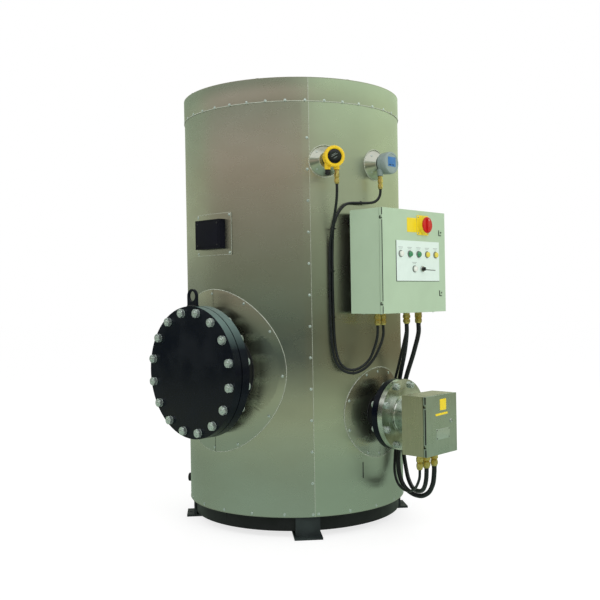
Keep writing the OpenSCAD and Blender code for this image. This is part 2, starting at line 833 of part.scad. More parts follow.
// A tube along the points of a route
module cable(p, r) {
    k = cable_sides;
    n = sides_of(p);
    last = len(p) - 1;
    points = [for (i = [0:last]) let (t = heading(p, i), b = cross(t, n[i]))
        for (j = [0:k - 1]) p[i] + r * (cos(360 * j / k) * n[i] + sin(360 * j / k) * b)];
    walls = [for (i = [0:last - 1], j = [0:k - 1]) let (a = i * k + j, b = i * k + (j + 1) % k)
        each [[a, a + k, b], [b, a + k, b + k]]];
    ends = [[for (j = [0:k - 1]) j], [for (j = [k - 1:-1:0]) last * k + j]];
    polyhedron(points, concat(walls, ends), convexity = 10);
}

module black_cable(p, r) {
    color([0.06, 0.07, 0.09]) cable(p, r);
}

vessel_shell();
vessel_upper_head();
vessel_lower_head();
base_skirt();
feet();
cladding_shell();
cladding_top_band();
cladding_roof();
cladding_base_ring();
manway_neck();
manway_rosette();
manway_flange();
manway_gasket();
manway_cover();
lifting_eye();
heater_nozzle();
heater_rosette();
nozzle_flange();
heater_gasket();
heater_flange();
heater_tube();
terminal_box();
terminal_door();
terminal_glands();
panel_brackets();
panel_body();
panel_door();
panel_glands();
legend_plate();
panel_lamps();
isolator_plate();
isolator_knob();
key_switch();
key_knob();
weather_cones();
instrument_stems();
yellow_housing();
grey_housing();
instrument_glands();
nameplate_sheet();
nameplate_box();
drain_pipe();
black_cable(yellow_route, small_cable_r);  // yellow_cable
black_cable(grey_route, small_cable_r);  // grey_cable
black_cable(cable_1_route, small_cable_r);  // heater_cable_1
black_cable(cable_2_route, medium_cable_r);  // heater_cable_2
black_cable(cable_3_route, large_cable_r);  // heater_cable_3
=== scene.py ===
"""Dresses the calorifier: sheet cladding, bolted manway, electric heater, control panel, instruments and cables.

Sizes are in millimetres and turn to metres where a mesh is made. The origin is on the floor at the
vessel's axis, the manway faces -Y, and the heater, terminal box and control panel face +X.
"""

import json
import logging
import math
from collections.abc import Sequence
from dataclasses import dataclass, field
from enum import Enum

import bmesh
import bpy
from mathutils import Matrix, Vector, noise

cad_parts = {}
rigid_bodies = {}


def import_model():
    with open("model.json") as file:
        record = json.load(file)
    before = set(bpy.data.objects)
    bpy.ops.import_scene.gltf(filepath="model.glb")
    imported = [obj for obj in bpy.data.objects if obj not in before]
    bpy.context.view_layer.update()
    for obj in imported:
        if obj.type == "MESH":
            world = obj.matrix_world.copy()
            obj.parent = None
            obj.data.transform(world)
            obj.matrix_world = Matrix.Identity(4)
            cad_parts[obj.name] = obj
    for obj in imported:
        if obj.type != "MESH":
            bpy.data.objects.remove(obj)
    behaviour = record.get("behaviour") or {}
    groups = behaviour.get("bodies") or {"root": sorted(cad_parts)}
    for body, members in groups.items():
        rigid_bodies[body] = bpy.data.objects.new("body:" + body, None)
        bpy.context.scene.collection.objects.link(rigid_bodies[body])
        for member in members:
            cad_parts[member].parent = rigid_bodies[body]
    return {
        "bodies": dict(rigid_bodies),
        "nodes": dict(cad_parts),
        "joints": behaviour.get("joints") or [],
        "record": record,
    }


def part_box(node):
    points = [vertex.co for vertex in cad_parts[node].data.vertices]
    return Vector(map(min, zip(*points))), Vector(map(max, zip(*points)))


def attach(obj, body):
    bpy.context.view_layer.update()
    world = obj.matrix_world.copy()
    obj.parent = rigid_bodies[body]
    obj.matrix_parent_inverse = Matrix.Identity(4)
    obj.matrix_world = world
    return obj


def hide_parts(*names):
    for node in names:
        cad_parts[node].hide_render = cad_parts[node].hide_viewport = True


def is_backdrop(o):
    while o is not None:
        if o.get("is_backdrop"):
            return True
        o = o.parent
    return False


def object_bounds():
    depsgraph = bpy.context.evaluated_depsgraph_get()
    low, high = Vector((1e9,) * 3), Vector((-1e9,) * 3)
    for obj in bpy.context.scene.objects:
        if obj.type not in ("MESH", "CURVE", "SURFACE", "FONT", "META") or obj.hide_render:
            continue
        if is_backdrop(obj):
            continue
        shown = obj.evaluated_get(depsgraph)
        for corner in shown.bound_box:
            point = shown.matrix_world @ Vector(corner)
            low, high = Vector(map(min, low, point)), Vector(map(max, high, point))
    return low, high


LOG = logging.getLogger("calorifier")
MM = 0.001
SKIN = 570.0  # radius of the cladding
UP = (0.0, 0.0, 1.0)
DOWN = (0.0, 0.0, -1.0)

Point = tuple[float, float, float]
Profile = Sequence[tuple[float, float]]
Tree = bpy.types.ShaderNodeTree
Node = bpy.types.ShaderNode
Socket = bpy.types.NodeSocket


# ---- places


def radial(azimuth: float, height: float, reach: float = 0.0) -> Matrix:
    """Makes a frame that looks straight out from the vessel's axis.

    Args:
        azimuth: angle from -Y towards +X, in degrees.
        height: height above the floor.
        reach: distance of the frame's origin from the axis.

    Returns:
        A matrix whose X runs to the right, Y up and Z outwards.
    """
    turn = math.radians(azimuth)
    right = Vector((math.cos(turn), math.sin(turn), 0.0))
    outward = Vector((math.sin(turn), -math.cos(turn), 0.0))
    frame = Matrix((right, Vector(UP), outward)).transposed().to_4x4()
    frame.translation = outward * reach + Vector((0.0, 0.0, height))
    return frame


def aimed(point: Sequence[float], axis: Sequence[float], side: Sequence[float] = UP) -> Matrix:
    """Makes a frame at a point whose Z runs along an axis.

    Args:
        point: the frame's origin.
        axis: the direction of the frame's Z.
        side: a direction that the frame's Y leans towards.

    Returns:
        The frame's matrix.
    """
    forward = Vector(axis).normalized()
    lean = Vector(side)
    if abs(forward.dot(lean.normalized())) > 0.99:
        lean = Vector((1.0, 0.0, 0.0))
    right = lean.cross(forward).normalized()
    frame = Matrix((right, forward.cross(right), forward)).transposed().to_4x4()
    frame.translation = Vector(point)
    return frame


def shifted(frame: Matrix, x: float = 0.0, y: float = 0.0, z: float = 0.0) -> Matrix:
    """Moves a frame along its own axes."""
    return frame @ Matrix.Translation((x, y, z))


def out_at(frame: Matrix, radius: float, angle: float) -> Matrix:
    """Moves a frame out by a radius at an angle in degrees, and turns its X outwards."""
    return shifted(frame, *polar(radius, angle)) @ Matrix.Rotation(math.radians(angle), 4, "Z")


def extent(node: str) -> tuple[Vector, Vector]:
    """Gives the lowest and highest corner of a node of the solid model."""
    low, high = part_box(node)
    return low / MM, high / MM


def facing(node: str) -> Matrix:
    """Makes a frame that looks along +X, level with a node's middle and with its origin at x = 0."""
    low, high = extent(node)
    return shifted(radial(90.0, (low.z + high.z) / 2), x=(low.y + high.y) / 2)


def around(count: int, start: float = 0.0) -> list[float]:
    """Spreads a number of angles evenly over a full turn, in degrees."""
    return [start + 360.0 * i / count for i in range(count)]


def polar(radius: float, angle: float) -> tuple[float, float]:
    """Gives the x and y of a point on a circle at an angle in degrees."""
    a = math.radians(angle)
    return radius * math.cos(a), radius * math.sin(a)


def about(azimuth: float, reach: float, z: float) -> Point:
    """Gives a point about the vessel's axis, with its azimuth from -Y towards +X, in degrees."""
    a = math.radians(azimuth)
    return math.sin(a) * reach, -math.cos(a) * reach, z


def corners(half_x: float, half_y: float) -> list[tuple[float, float]]:
    """Gives the four corners of a rectangle about the origin."""
    return [(x * half_x, y * half_y) for x in (-1, 1) for y in (-1, 1)]


def arc(radius: float, start: float, end: float, steps: int) -> list[tuple[float, float]]:
    """Gives points on a circle from one angle to another, in degrees."""
    return [polar(radius, start + (end - start) * i / steps) for i in range(steps + 1)]


def rounded(width: float, height: float, radius: float, steps: int = 4) -> list[tuple[float, float]]:
    """Gives the outline of a rectangle with round corners, anticlockwise.

    Args:
        width: its width.
        height: its height.
        radius: radius of its corners.
        steps: parts of each corner.

    Returns:
        The outline's points.
    """
    radius = max(min(radius, width / 2 - 0.01, height / 2 - 0.01), 0.01)
    outline = []
    for start, sx, sy in ((0, 1, 1), (90, -1, 1), (180, -1, -1), (270, 1, -1)):
        cx, cy = sx * (width / 2 - radius), sy * (height / 2 - radius)
        outline += [(cx + x, cy + y) for x, y in arc(radius, start, start + 90, steps)]
    return outline


# ---- meshes


class Form:
    """A mesh in the making, in millimetres."""

    def __init__(self) -> None:
        """Starts an empty mesh."""
        self.mesh = bmesh.new()

    def loft(self, rings: Sequence[Sequence[Sequence[float]]], wrap: bool = False) -> "Form":
        """Skins a row of closed rings that have as many points each.

        Args:
            rings: the rings, each anticlockwise as seen from the end of the row.
            wrap: whether the last ring joins the first one. Otherwise both are filled.

        Returns:
            The mesh itself, so that calls can follow each other.
        """
        rows = [[self.mesh.verts.new(p) for p in ring] for ring in rings]
        count = len(rows[0])
        pairs = list(zip(rows, rows[1:])) + ([(rows[-1], rows[0])] if wrap else [])
        for low, high in pairs:
            for i in range(count):
                j = (i + 1) % count
                self.mesh.faces.new((low[i], low[j], high[j], high[i]))
        if not wrap:
            self.mesh.faces.new(rows[0][::-1])
            self.mesh.faces.new(rows[-1])
        return self

    def lathe(self, frame: Matrix, profile: Profile, steps: int = 32, wrap: bool = False) -> "Form":
        """Turns a profile about a frame's Z axis.

        Args:
            frame: the frame to turn in.
            profile: points of radius and height. Without wrap its ends are filled flat.
            steps: points around.
            wrap: whether the profile is a closed loop, as for a ring.

        Returns:
            The mesh itself.
        """
        return self.loft([[frame @ Vector((*polar(r, a), z)) for a in around(steps)] for r, z in profile], wrap)

    def slab(
        self,
        frame: Matrix,
        width: float,
        height: float,
        low: float,
        high: float,
        corner: float = 1.0,
        edge: float = 0.0,
    ) -> "Form":
        """Adds a plate or block with round corners and, if asked, a round edge on its upper face.

        Args:
            frame: its frame, centred on the plate.
            width: size along X.
            height: size along Y.
            low: where it starts along Z.
            high: where it ends along Z.
            corner: radius of its four corners.
            edge: radius of the rounding around its upper face.

        Returns:
            The mesh itself.
        """
        levels = [(low, 0.0), (high - edge, 0.0)]
        if edge > 0:
            levels += [(high - edge + edge * math.sin(t), edge * (1 - math.cos(t))) for t in (0.52, 1.05, 1.57)]
        rings = []
        for z, inset in levels:
            outline = rounded(width - 2 * inset, height - 2 * inset, max(corner - inset, 0.4))
            rings.append([frame @ Vector((x, y, z)) for x, y in outline])
        return self.loft(rings)

    def hexagon(self, frame: Matrix, flats: float, low: float, high: float, chamfer: float = 0.07) -> "Form":
        """Adds a hexagon nut or collar with turned chamfers.

        Args:
            frame: its frame; Z is its axis.
            flats: its size across the flats.
            low: where it starts along Z.
            high: where it ends along Z.
            chamfer: depth of the chamfer as a share of the size across flats.

        Returns:
            The mesh itself.
        """
        apothem, depth = flats / 2, flats * chamfer
        angles = [math.radians(a) for a in around(24)]
        reach = [apothem / math.cos((a % (math.pi / 3)) - math.pi / 6) for a in angles]
        corner = max(reach) - apothem
        cut = [depth * (r - apothem) / corner for r in reach]
        small = [min(r, apothem) for r in reach]
        rows = [
            [(r, low, a) for r, a in zip(small, angles)],
            [(r, low + c, a) for r, c, a in zip(reach, cut, angles)],
            [(r, high - c, a) for r, c, a in zip(reach, cut, angles)],
            [(r, high, a) for r, a in zip(small, angles)],
        ]
        return self.loft([[frame @ Vector((r * math.cos(a), r * math.sin(a), z)) for r, z, a in row] for row in rows])

    def tube(self, path: Sequence[Sequence[float]], radius: float, steps: int = 10) -> "Form":
        """Draws a round rod along a path.

        Args:
            path: points of its centre line.
            radius: radius of the rod.
            steps: points around.

        Returns:
            The mesh itself.
        """
        points = [Vector(p) for p in path]
        side = Vector((0.31, 0.72, 0.62))
        rings = []
        for i, here in enumerate(points):
            along = (points[min(i + 1, len(points) - 1)] - points[max(i - 1, 0)]).normalized()
            side = (side - along * side.dot(along)).normalized()
            rings.append(self.section(here, side, along, radius, steps))
        return self.loft(rings)

    def ring(self, path: Sequence[Sequence[float]], radius: float, steps: int = 8) -> "Form":
        """Draws a round bead along a closed path, as a weld or a rolled edge.

        Args:
            path: points of its centre line.
            radius: radius of the bead.
            steps: points around.

        Returns:
            The mesh itself.
        """
        points = [Vector(p) for p in path]
        middle = sum(points, Vector()) / len(points)
        rings = []
        for i, here in enumerate(points):
            along = (points[(i + 1) % len(points)] - points[i - 1]).normalized()
            side = (here - middle) - along * (here - middle).dot(along)
            rings.append(self.section(here, side.normalized(), along, radius, steps))
        return self.loft(rings, wrap=True)

    @staticmethod
    def section(here: Vector, side: Vector, along: Vector, radius: float, steps: int) -> list[Vector]:
        """Gives a circle of points about a place, square to the way along."""
        other = along.cross(side)
        return [here + side * x + other * y for x, y in (polar(radius, a) for a in around(steps))]

    def piece(self, name: str, finish: "Finish", sharp: float = 34.0) -> bpy.types.Object:
        """Turns the mesh into an object, in metres.

        Args:
            name: the object's name.
            finish: its material.
            sharp: edges that bend more than this many degrees stay sharp.

        Returns:
            The new object.
        """
        bmesh.ops.recalc_face_normals(self.mesh, faces=self.mesh.faces)
        limit = math.radians(sharp)
        for face in self.mesh.faces:
            face.smooth = True
        for edge in self.mesh.edges:
            edge.smooth = len(edge.link_faces) == 2 and edge.calc_face_angle(0.0) < limit
        bmesh.ops.scale(self.mesh, vec=(MM, MM, MM), verts=self.mesh.verts)
        data = bpy.data.meshes.new(name)
        self.mesh.to_mesh(data)
        self.mesh.free()
        data.materials.append(finish.material())
        made = bpy.data.objects.new(name, data)
        bpy.context.scene.collection.objects.link(made)
        return made


# ---- finishes


def srgb(code: str) -> tuple[float, float, float, float]:
    """Turns an sRGB hex code into a linear colour.

    Args:
        code: six hex digits.

    Returns:
        Linear red, green, blue and an alpha of 1.
    """
    parts = [int(code[i : i + 2], 16) / 255 for i in (0, 2, 4)]
    red, green, blue = (c / 12.92 if c <= 0.04045 else ((c + 0.055) / 1.055) ** 2.4 for c in parts)
    return red, green, blue, 1.0


def add(
    tree: Tree,
    kind: str,
    settings: dict[str, object] | None = None,
    values: dict[str | int, object] | None = None,
    links: dict[str | int, Socket] | None = None,
) -> Node:
    """Adds a node with its settings, input values and links.

    Args:
        tree: the tree to add it to.
        kind: the node's type.
        settings: its own settings by name.
        values: values of its inputs by name or number.
        links: output sockets that feed its inputs, by name or number.

    Returns:
        The new node.
    """
    node = tree.nodes.new(kind)
    for key, setting in (settings or {}).items():
        setattr(node, key, setting)
    for key, value in (values or {}).items():
        node.inputs[key].default_value = value
    for key, source in (links or {}).items():
        tree.links.new(source, node.inputs[key])
    return node


@dataclass(frozen=True)
class Share:
    """How strongly something shows: as its source goes from start to end, it goes from low to high."""

    source: Socket
    low: float
    high: float
    start: float = 0.35
    end: float = 0.65

    def span(self) -> dict[str, float]:
        """Gives the input values that map the source."""
        return {"From Min": self.start, "From Max": self.end, "To Min": self.low, "To Max": self.high}


@dataclass(frozen=True)
class Look:
    """A material in the making: its tree, its surface shader and the place on the object in metres."""

    tree: Tree
    shader: Node
    place: Socket

    def grain(self, size: float, detail: float = 3.0, stretch: Point = (1.0, 1.0, 1.0)) -> Socket:
        """Makes cloudy or streaky noise.

        Args:
            size: size of its features in millimetres.
            detail: number of finer layers.
            stretch: how far each axis is drawn out.

        Returns:
            The noise, from 0 to 1.
        """
        scale = tuple(1 / s for s in stretch)
        mapped = add(self.tree, "ShaderNodeMapping", values={"Scale": scale}, links={"Vector": self.place})
        values = {"Scale": 1 / (size * MM), "Detail": detail}
        return add(self.tree, "ShaderNodeTexNoise", values=values, links={"Vector": mapped.outputs[0]}).outputs["Fac"]

    def blend(self, first: str | Socket, second: str, *shares: Share) -> Socket:
        """Blends two colours by one share, or by the sum of two up to 1.

        Args:
            first: hex code or socket of the first colour.
            second: hex code of the second colour.
            shares: the shares of the second colour.

        Returns:
            The blended colour.
        """
        total = None
        for part in shares:
            share = add(self.tree, "ShaderNodeMapRange", None, part.span(), {"Value": part.source}).outputs["Result"]
            if total is not None:
                settings = {"operation": "ADD", "use_clamp": True}
                share = add(self.tree, "ShaderNodeMath", settings, links={0: total, 1: share}).outputs[0]
            total = share
        mix = add(self.tree, "ShaderNodeMix", {"data_type": "RGBA"}, {7: srgb(second)}, {0: total})
        if isinstance(first, str):
            mix.inputs[6].default_value = srgb(first)
        else:
            self.tree.links.new(first, mix.inputs[6])
        return mix.outputs[2]

    def vary(self, entry: str, share: Share) -> None:
        """Lets a share drive one of the shader's inputs."""
        node = add(self.tree, "ShaderNodeMapRange", values=share.span(), links={"Value": share.source})
        self.feed(entry, node.outputs["Result"])

    def feed(self, entry: str, source: Socket) -> None:
        """Links a source to one of the shader's inputs."""
        self.tree.links.new(source, self.shader.inputs[entry])

    def fix(self, entry: str, value: object) -> None:
        """Sets one of the shader's inputs."""
        self.shader.inputs[entry].default_value = value

    def relief(self, height: Socket, depth: float) -> None:
        """Lets a height pattern bend the surface's normal.

        Args:
            height: the height pattern.
            depth: its depth in millimetres.
        """
        values = {"Strength": 1.0, "Distance": depth * MM}
        bump = add(self.tree, "ShaderNodeBump", values=values, links={"Height": height})
        self.feed("Normal", bump.outputs["Normal"])


@dataclass(frozen=True)
class Finish:
    """A plain surface. Each finish below adds what its real material shows."""

    name: str
    colour: str
    roughness: float
    metallic: float = 0.0

    def material(self) -> bpy.types.Material:
        """Gives the finish's material, which is made once.

        Returns:
            The material.
        """
        found = bpy.data.materials.get(self.name)
        if found:
            return found
        made = bpy.data.materials.new(self.name)
        made.use_nodes = True
        made.diffuse_color = srgb(self.colour)
        tree = made.node_tree
        tree.nodes.clear()
        values = {"Base Color": srgb(self.colour), "Roughness": self.roughness, "Metallic": self.metallic}
        shader = add(tree, "ShaderNodeBsdfPrincipled", values=values)
        self.surface(tree, shader)
        return made

    def surface(self, tree: Tree, shader: Node) -> None:
        """Adds the coordinates, the finish's own detail and the output."""
        self.detail(Look(tree, shader, add(tree, "ShaderNodeTexCoord").outputs["Object"]))
        add(tree, "ShaderNodeOutputMaterial", links={"Surface": shader.outputs["BSDF"]})

    def detail(self, look: Look) -> None:
        """Adds the surface's own detail to a look."""


@dataclass(frozen=True)
class Enamel(Finish):
    """Sprayed alkyd enamel on steel plate: a deep, slightly rippled gloss with a little dust."""

    worn: str = "2a2d33"
    ripple: float = 14.0
    depth: float = 0.05
    gloss: float = 0.35
    # Colour of a painted highlight on faces that look up; empty for none.
    painted_highlight: str = ""

    def detail(self, look: Look) -> None:
        """Adds the ripple that spraying leaves, cloudy dust and, where asked, a painted highlight that makes faces that
        look up lighter.

        Args:
            look: the material in the making.
        """
        look.fix("Specular IOR Level", self.gloss)
        cloud = look.grain(130.0, 5.0)
        paint = look.blend(self.colour, self.worn, Share(cloud, 0.0, 1.0, 0.4, 0.75))
        # A lighter colour on faces that look up, blended by the height of the normal: a painted highlight.
        if self.painted_highlight:
            normal = add(look.tree, "ShaderNodeNewGeometry").outputs["Normal"]
            upward = add(look.tree, "ShaderNodeSeparateXYZ", links={0: normal}).outputs["Z"]
            paint = look.blend(paint, self.painted_highlight, Share(upward, 0.0, 1.0, 0.36, 0.76))
        look.feed("Base Color", paint)
        look.vary("Roughness", Share(cloud, self.roughness, self.roughness + 0.16))
        look.relief(look.grain(self.ripple, 2.0), self.depth)


@dataclass(frozen=True)
class RolledSheet(Finish):
    """Mill-finish rolled sheet: the rolling lines run up the vessel, so reflections smear sideways."""

    shade: str = "8d8a7a"
    anisotropy: float = 0.92
    line: float = 5.0

    def detail(self, look: Look) -> None:
        """Adds rolling lines, handling marks and the sideways smear.

        The real lines are about 0.3 mm apart; they are drawn 5 mm apart so that they show.

        Args:
            look: the material in the making.
        """
        look.fix("Anisotropic", self.anisotropy)
        settings, upright = {"operation": "CROSS_PRODUCT"}, {0: UP}
        look.feed("Tangent", add(look.tree, "ShaderNodeVectorMath", settings, upright, {1: look.place}).outputs[0])
        wide = Share(look.grain(520.0, 4.0, (1.5, 1.5, 0.8)), 0.0, 1.0, 0.32, 0.68)
        streak = look.grain(self.line, 2.0, (1.0, 1.0, 90.0))
        look.feed("Base Color", look.blend(self.shade, self.colour, wide, Share(streak, -0.02, 0.02, 0.3, 0.7)))
        smudge = look.grain(90.0, 6.0, (2.0, 2.0, 1.0))
        look.vary("Roughness", Share(smudge, self.roughness - 0.02, self.roughness + 0.03, 0.3, 0.7))
        look.relief(streak, 0.0015)


@dataclass(frozen=True)
class BrushedSteel(Finish):
    """Brushed stainless sheet: upright hairlines that break a reflection into soft streaks."""

    shade: str = "8f927f"
    line: float = 1.6

    def detail(self, look: Look) -> None:
        """Adds hairlines, drawn 1.6 mm apart instead of 0.2 mm so that they show, and finger marks.

        Args:
            look: the material in the making.
        """
        hair = look.grain(self.line, 2.0, (1.0, 1.0, 60.0))
        cloud = look.grain(60.0, 4.0)
        shares = Share(cloud, 0.45, 0.95, 0.3, 0.7), Share(hair, -0.2, 0.2, 0.3, 0.7)
        look.feed("Base Color", look.blend(self.shade, self.colour, *shares))
        look.vary("Roughness", Share(cloud, self.roughness - 0.06, self.roughness + 0.08))
        look.relief(hair, 0.03)


@dataclass(frozen=True)
class TurnedSteel(Finish):
    """Turned stainless: rings about the lathe's axis, which catch the light in a fan."""

    shade: str = "7d8078"
    centre: Point = (0.0, 0.0, 572.0)
    feed: float = 3.0

    def detail(self, look: Look) -> None:
        """Adds the cutter's rings, drawn 3 mm apart instead of 0.3 mm so that they show.

        Args:
            look: the material in the making.
        """
        centre = {1: tuple(c * MM for c in self.centre)}
        place = add(look.tree, "ShaderNodeVectorMath", {"operation": "SUBTRACT"}, centre, {0: look.place})
        # A ring texture of scale 1 has a ring every 0.314 m
        rings = add(
            look.tree,
            "ShaderNodeTexWave",
            {"wave_type": "RINGS", "rings_direction": "X"},
            {"Scale": 0.314 / (self.feed * MM), "Distortion": 0.6, "Detail": 2.0},
            {"Vector": place.outputs[0]},
        ).outputs["Fac"]
        shares = Share(look.grain(45.0, 4.0), 0.1, 0.9, 0.3, 0.7), Share(rings, -0.15, 0.15, 0.0, 1.0)
        look.feed("Base Color", look.blend(self.shade, self.colour, *shares))
        look.relief(rings, 0.02)


@dataclass(frozen=True)
class Plated(Finish):
    """Plated or plain small metal parts: an even metal with dull spots where it was handled."""

    spot: str = "6b7068"

    def detail(self, look: Look) -> None:
        """Adds dull spots and the soft waviness of a barrel-plated surface.

        Args:
            look: the material in the making.
        """
        mottle = look.grain(9.0, 4.0)
        look.feed("Base Color", look.blend(self.colour, self.spot, Share(mottle, 0.0, 0.8, 0.5, 0.75)))
        look.vary("Roughness", Share(mottle, self.roughness - 0.07, self.roughness + 0.1))
        look.relief(look.grain(3.0, 2.0), 0.05)


@dataclass(frozen=True)
class PowderCoat(Finish):
    """Polyester powder coat: an even light colour with a fine orange peel and soft sheen."""

    shade: str = "9fb09f"
    peel: float = 4.0

    def detail(self, look: Look) -> None:
        """Adds orange peel, drawn 4 mm across so that it shows, and a faint grime in clouds.

        Args:
            look: the material in the making.
        """
        grime = Share(look.grain(160.0, 5.0), 0.0, 0.35, 0.45, 0.8)
        look.feed("Base Color", look.blend(self.colour, self.shade, grime))
        look.relief(look.grain(self.peel, 2.0), 0.05)


@dataclass(frozen=True)
class Moulded(Finish):
    """Moulded plastic or PVC sheath: an even colour, a soft gloss and a very fine texture."""

    worn: str = "3a3c40"
    share: float = 0.25
    texture: float = 2.2

    def detail(self, look: Look) -> None:
        """Adds a fine mould texture and the dull haze of handling.

        Args:
            look: the material in the making.
        """
        haze = look.grain(35.0, 4.0)
        look.feed("Base Color", look.blend(self.colour, self.worn, Share(haze, 0.0, self.share, 0.4, 0.75)))
        look.vary("Roughness", Share(haze, self.roughness, self.roughness + 0.1))
        look.relief(look.grain(self.texture, 1.0), 0.03)


@dataclass(frozen=True)
class Lens(Finish):
    """Coloured polycarbonate lamp cap: glossy, lit from within by its own colour, with a fine moulded texture."""

    glow: float = 0.25

    def detail(self, look: Look) -> None:
        """Adds the soft inner colour and a fine moulded texture.

        Args:
            look: the material in the making.
        """
        look.fix("Emission Color", srgb(self.colour))
        look.fix("Emission Strength", self.glow)
        look.fix("Coat Weight", 0.6)
        mottle = look.grain(5.0, 2.0)
        look.feed("Base Color", look.blend(self.colour, "ffffff", Share(mottle, 0.0, 0.1)))
        look.relief(mottle, 0.1)


class Finishes:
    """The finishes of this vessel, each named for its real material."""

    CLADDING = RolledSheet("mill_finish_aluminium_sheet", "cbcec5", 0.27, 1.0, shade="c1bfb2")
    CLADDING_PALE = RolledSheet("mill_finish_aluminium_pale_sheet", "d2d8cb", 0.28, 1.0, shade="c6c9bb")
    CLADDING_EDGE = Plated("bright_sheet_edge", "dde3d6", 0.3, 0.5, spot="b9c0b4")
    BLACK = Enamel("black_alkyd_enamel_on_steel", "050916", 0.2, worn="0f1320", gloss=0.22)
    # The lighter colour on its up-facing edges is a painted highlight.
    FLANGE_BLACK = Enamel("black_enamel_with_painted_top_highlight", "050916", 0.2, worn="0f1320", gloss=0.22, painted_highlight="6f8782")
    ROUGH_BLACK = Enamel("brushed_black_enamel_on_plate", "0f1013", 0.42, worn="1f2023", ripple=22.0, depth=0.3)
    STAINLESS = TurnedSteel("turned_stainless_steel", "f0f4ec", 0.24, 1.0, shade="b4b9af")
    # One brushed stainless in two tints: the warm tint of the box's body and the cool tint of its door and the heater's
    # tube are painted reflections.
    BOX_SIDE = BrushedSteel("brushed_stainless_with_warm_painted_reflection", "cec8ae", 0.3, 1.0, shade="aaa78f")
    BOX_FRONT = BrushedSteel("brushed_stainless_with_cool_painted_reflection", "c8d2ca", 0.3, 1.0, shade="a6b0a5")
    PLATE = Plated("satin_aluminium_plate", "dfe8e4", 0.5, 1.0, spot="ccd6d0")
    ZINC = Plated("zinc_plated_steel", "cfdcd7", 0.28, 0.75, spot="8d968f")
    BRASS = Plated("brass_glands", "ecd383", 0.28, 1.0, spot="b8a262")
    MATT_BLACK = Enamel("matt_black_enamel_on_sheet", "0e0f17", 0.45, worn="141520", gloss=0.12)
    # A paler black than the skirt's enamel, used on the feet.
    PALE_BLACK = Enamel("pale_black_enamel_on_plate", "22292b", 0.5, worn="394342", ripple=22.0, depth=0.3)
    RAIL = Plated("zinc_plated_rail", "9aa39c", 0.4, 1.0)
    PANEL = PowderCoat("grey_green_powder_coat", "b7d1b1", 0.38, shade="a6bf9f")
    LEGEND = Moulded("satin_laminate_legend", "e5f7ec", 0.4, worn="d3e4d8")
    MARKS = Moulded("grey_printed_marks", "b3c2b9", 0.5, worn="c3cfc8")
    YELLOW = Moulded("yellow_abs_plate", "f6dc22", 0.35, worn="e6c81e")
    RED = Moulded("red_moulded_handle", "cc1512", 0.25, worn="b31714")
    BLACK_PLASTIC = Moulded("black_moulded_nylon", "15161a", 0.35)
    YELLOW_CAST = Enamel(
        "yellow_epoxy_on_cast_aluminium", "f5d21e", 0.24, worn="ecc41a", ripple=4.0, depth=0.1, gloss=0.5
    )
    GREY_CAST = Enamel("grey_epoxy_on_cast_aluminium", "93a5a2", 0.26, worn="86988f", ripple=4.0, depth=0.1, gloss=0.6)
    BLUE_PLATE = Moulded("blue_instrument_plate", "3b78b6", 0.35, worn="356da6")
    GREY_PLASTIC = Moulded("grey_moulded_nylon", "6f7a72", 0.4, worn="838d84")
    WINDOW = Finish("tinted_instrument_window", "0a0c10", 0.06)
    RUBBER = Moulded("black_nitrile_gasket", "1c1d1f", 0.6, worn="34363a", share=0.5)
    SHEATH = Moulded("black_pvc_sheath", "101519", 0.34, worn="262c31")
    GLASS_WHITE = Lens("white_lamp_cap", "e6ebdf", 0.15, glow=0.08)
    GLASS_GREEN = Lens("green_lamp_cap", "0d7f48", 0.15, glow=0.06)
    GLASS_AMBER = Lens("amber_lamp_cap", "e0cf3c", 0.15, glow=0.08)
    CHROME = Plated("chrome_ring", "d8dcdc", 0.14, 1.0, spot="a9adad")


# ---- the workshop


class Workshop:
    """Holds the solid model and puts the pieces on it."""

    def __init__(self) -> None:
        """Loads the solid model."""
        self.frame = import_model()
        self.nodes: dict[str, bpy.types.Object] = self.frame["nodes"]
        self.low, self.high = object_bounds()

    def put(
        self,
        form: Form,
        name: str,
        finish: Finish,
        body: str = "vessel",
        replaces: Sequence[str] = (),
        sharp: float = 34.0,
    ) -> bpy.types.Object:
        """Makes a piece and fixes it to a body.

        Args:
            form: its mesh.
            name: its name.
            finish: its material.
            body: the body that it moves with.
            replaces: the nodes that it stands for.
            sharp: edges that bend more than this many degrees stay sharp.

        Returns:
            The new object.
        """
        made = form.piece(name, finish, sharp)
        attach(made, body)
        if replaces:
            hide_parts(*replaces)
        LOG.info("built %s with %d faces", name, len(made.data.polygons))
        return made

    def dress(self, node: str, finish: Finish, edge: float = 0.0) -> None:
        """Gives a node of the solid model its finish.

        Args:
            node: the node's name.
            finish: its material.
            edge: width of the round edges that it gets, in millimetres.
        """
        solid = self.nodes[node]
        solid.data.materials.clear()
        solid.data.materials.append(finish.material())
        if edge > 0:
            bevel = solid.modifiers.new("round_edges", "BEVEL")
            bevel.width = edge * MM
            bevel.segments = 2
            bevel.limit_method = "ANGLE"
            bevel.angle_limit = math.radians(50)
            bevel.harden_normals = True
        LOG.info("dressed %s in %s", node, finish.name)


# ---- camera and light


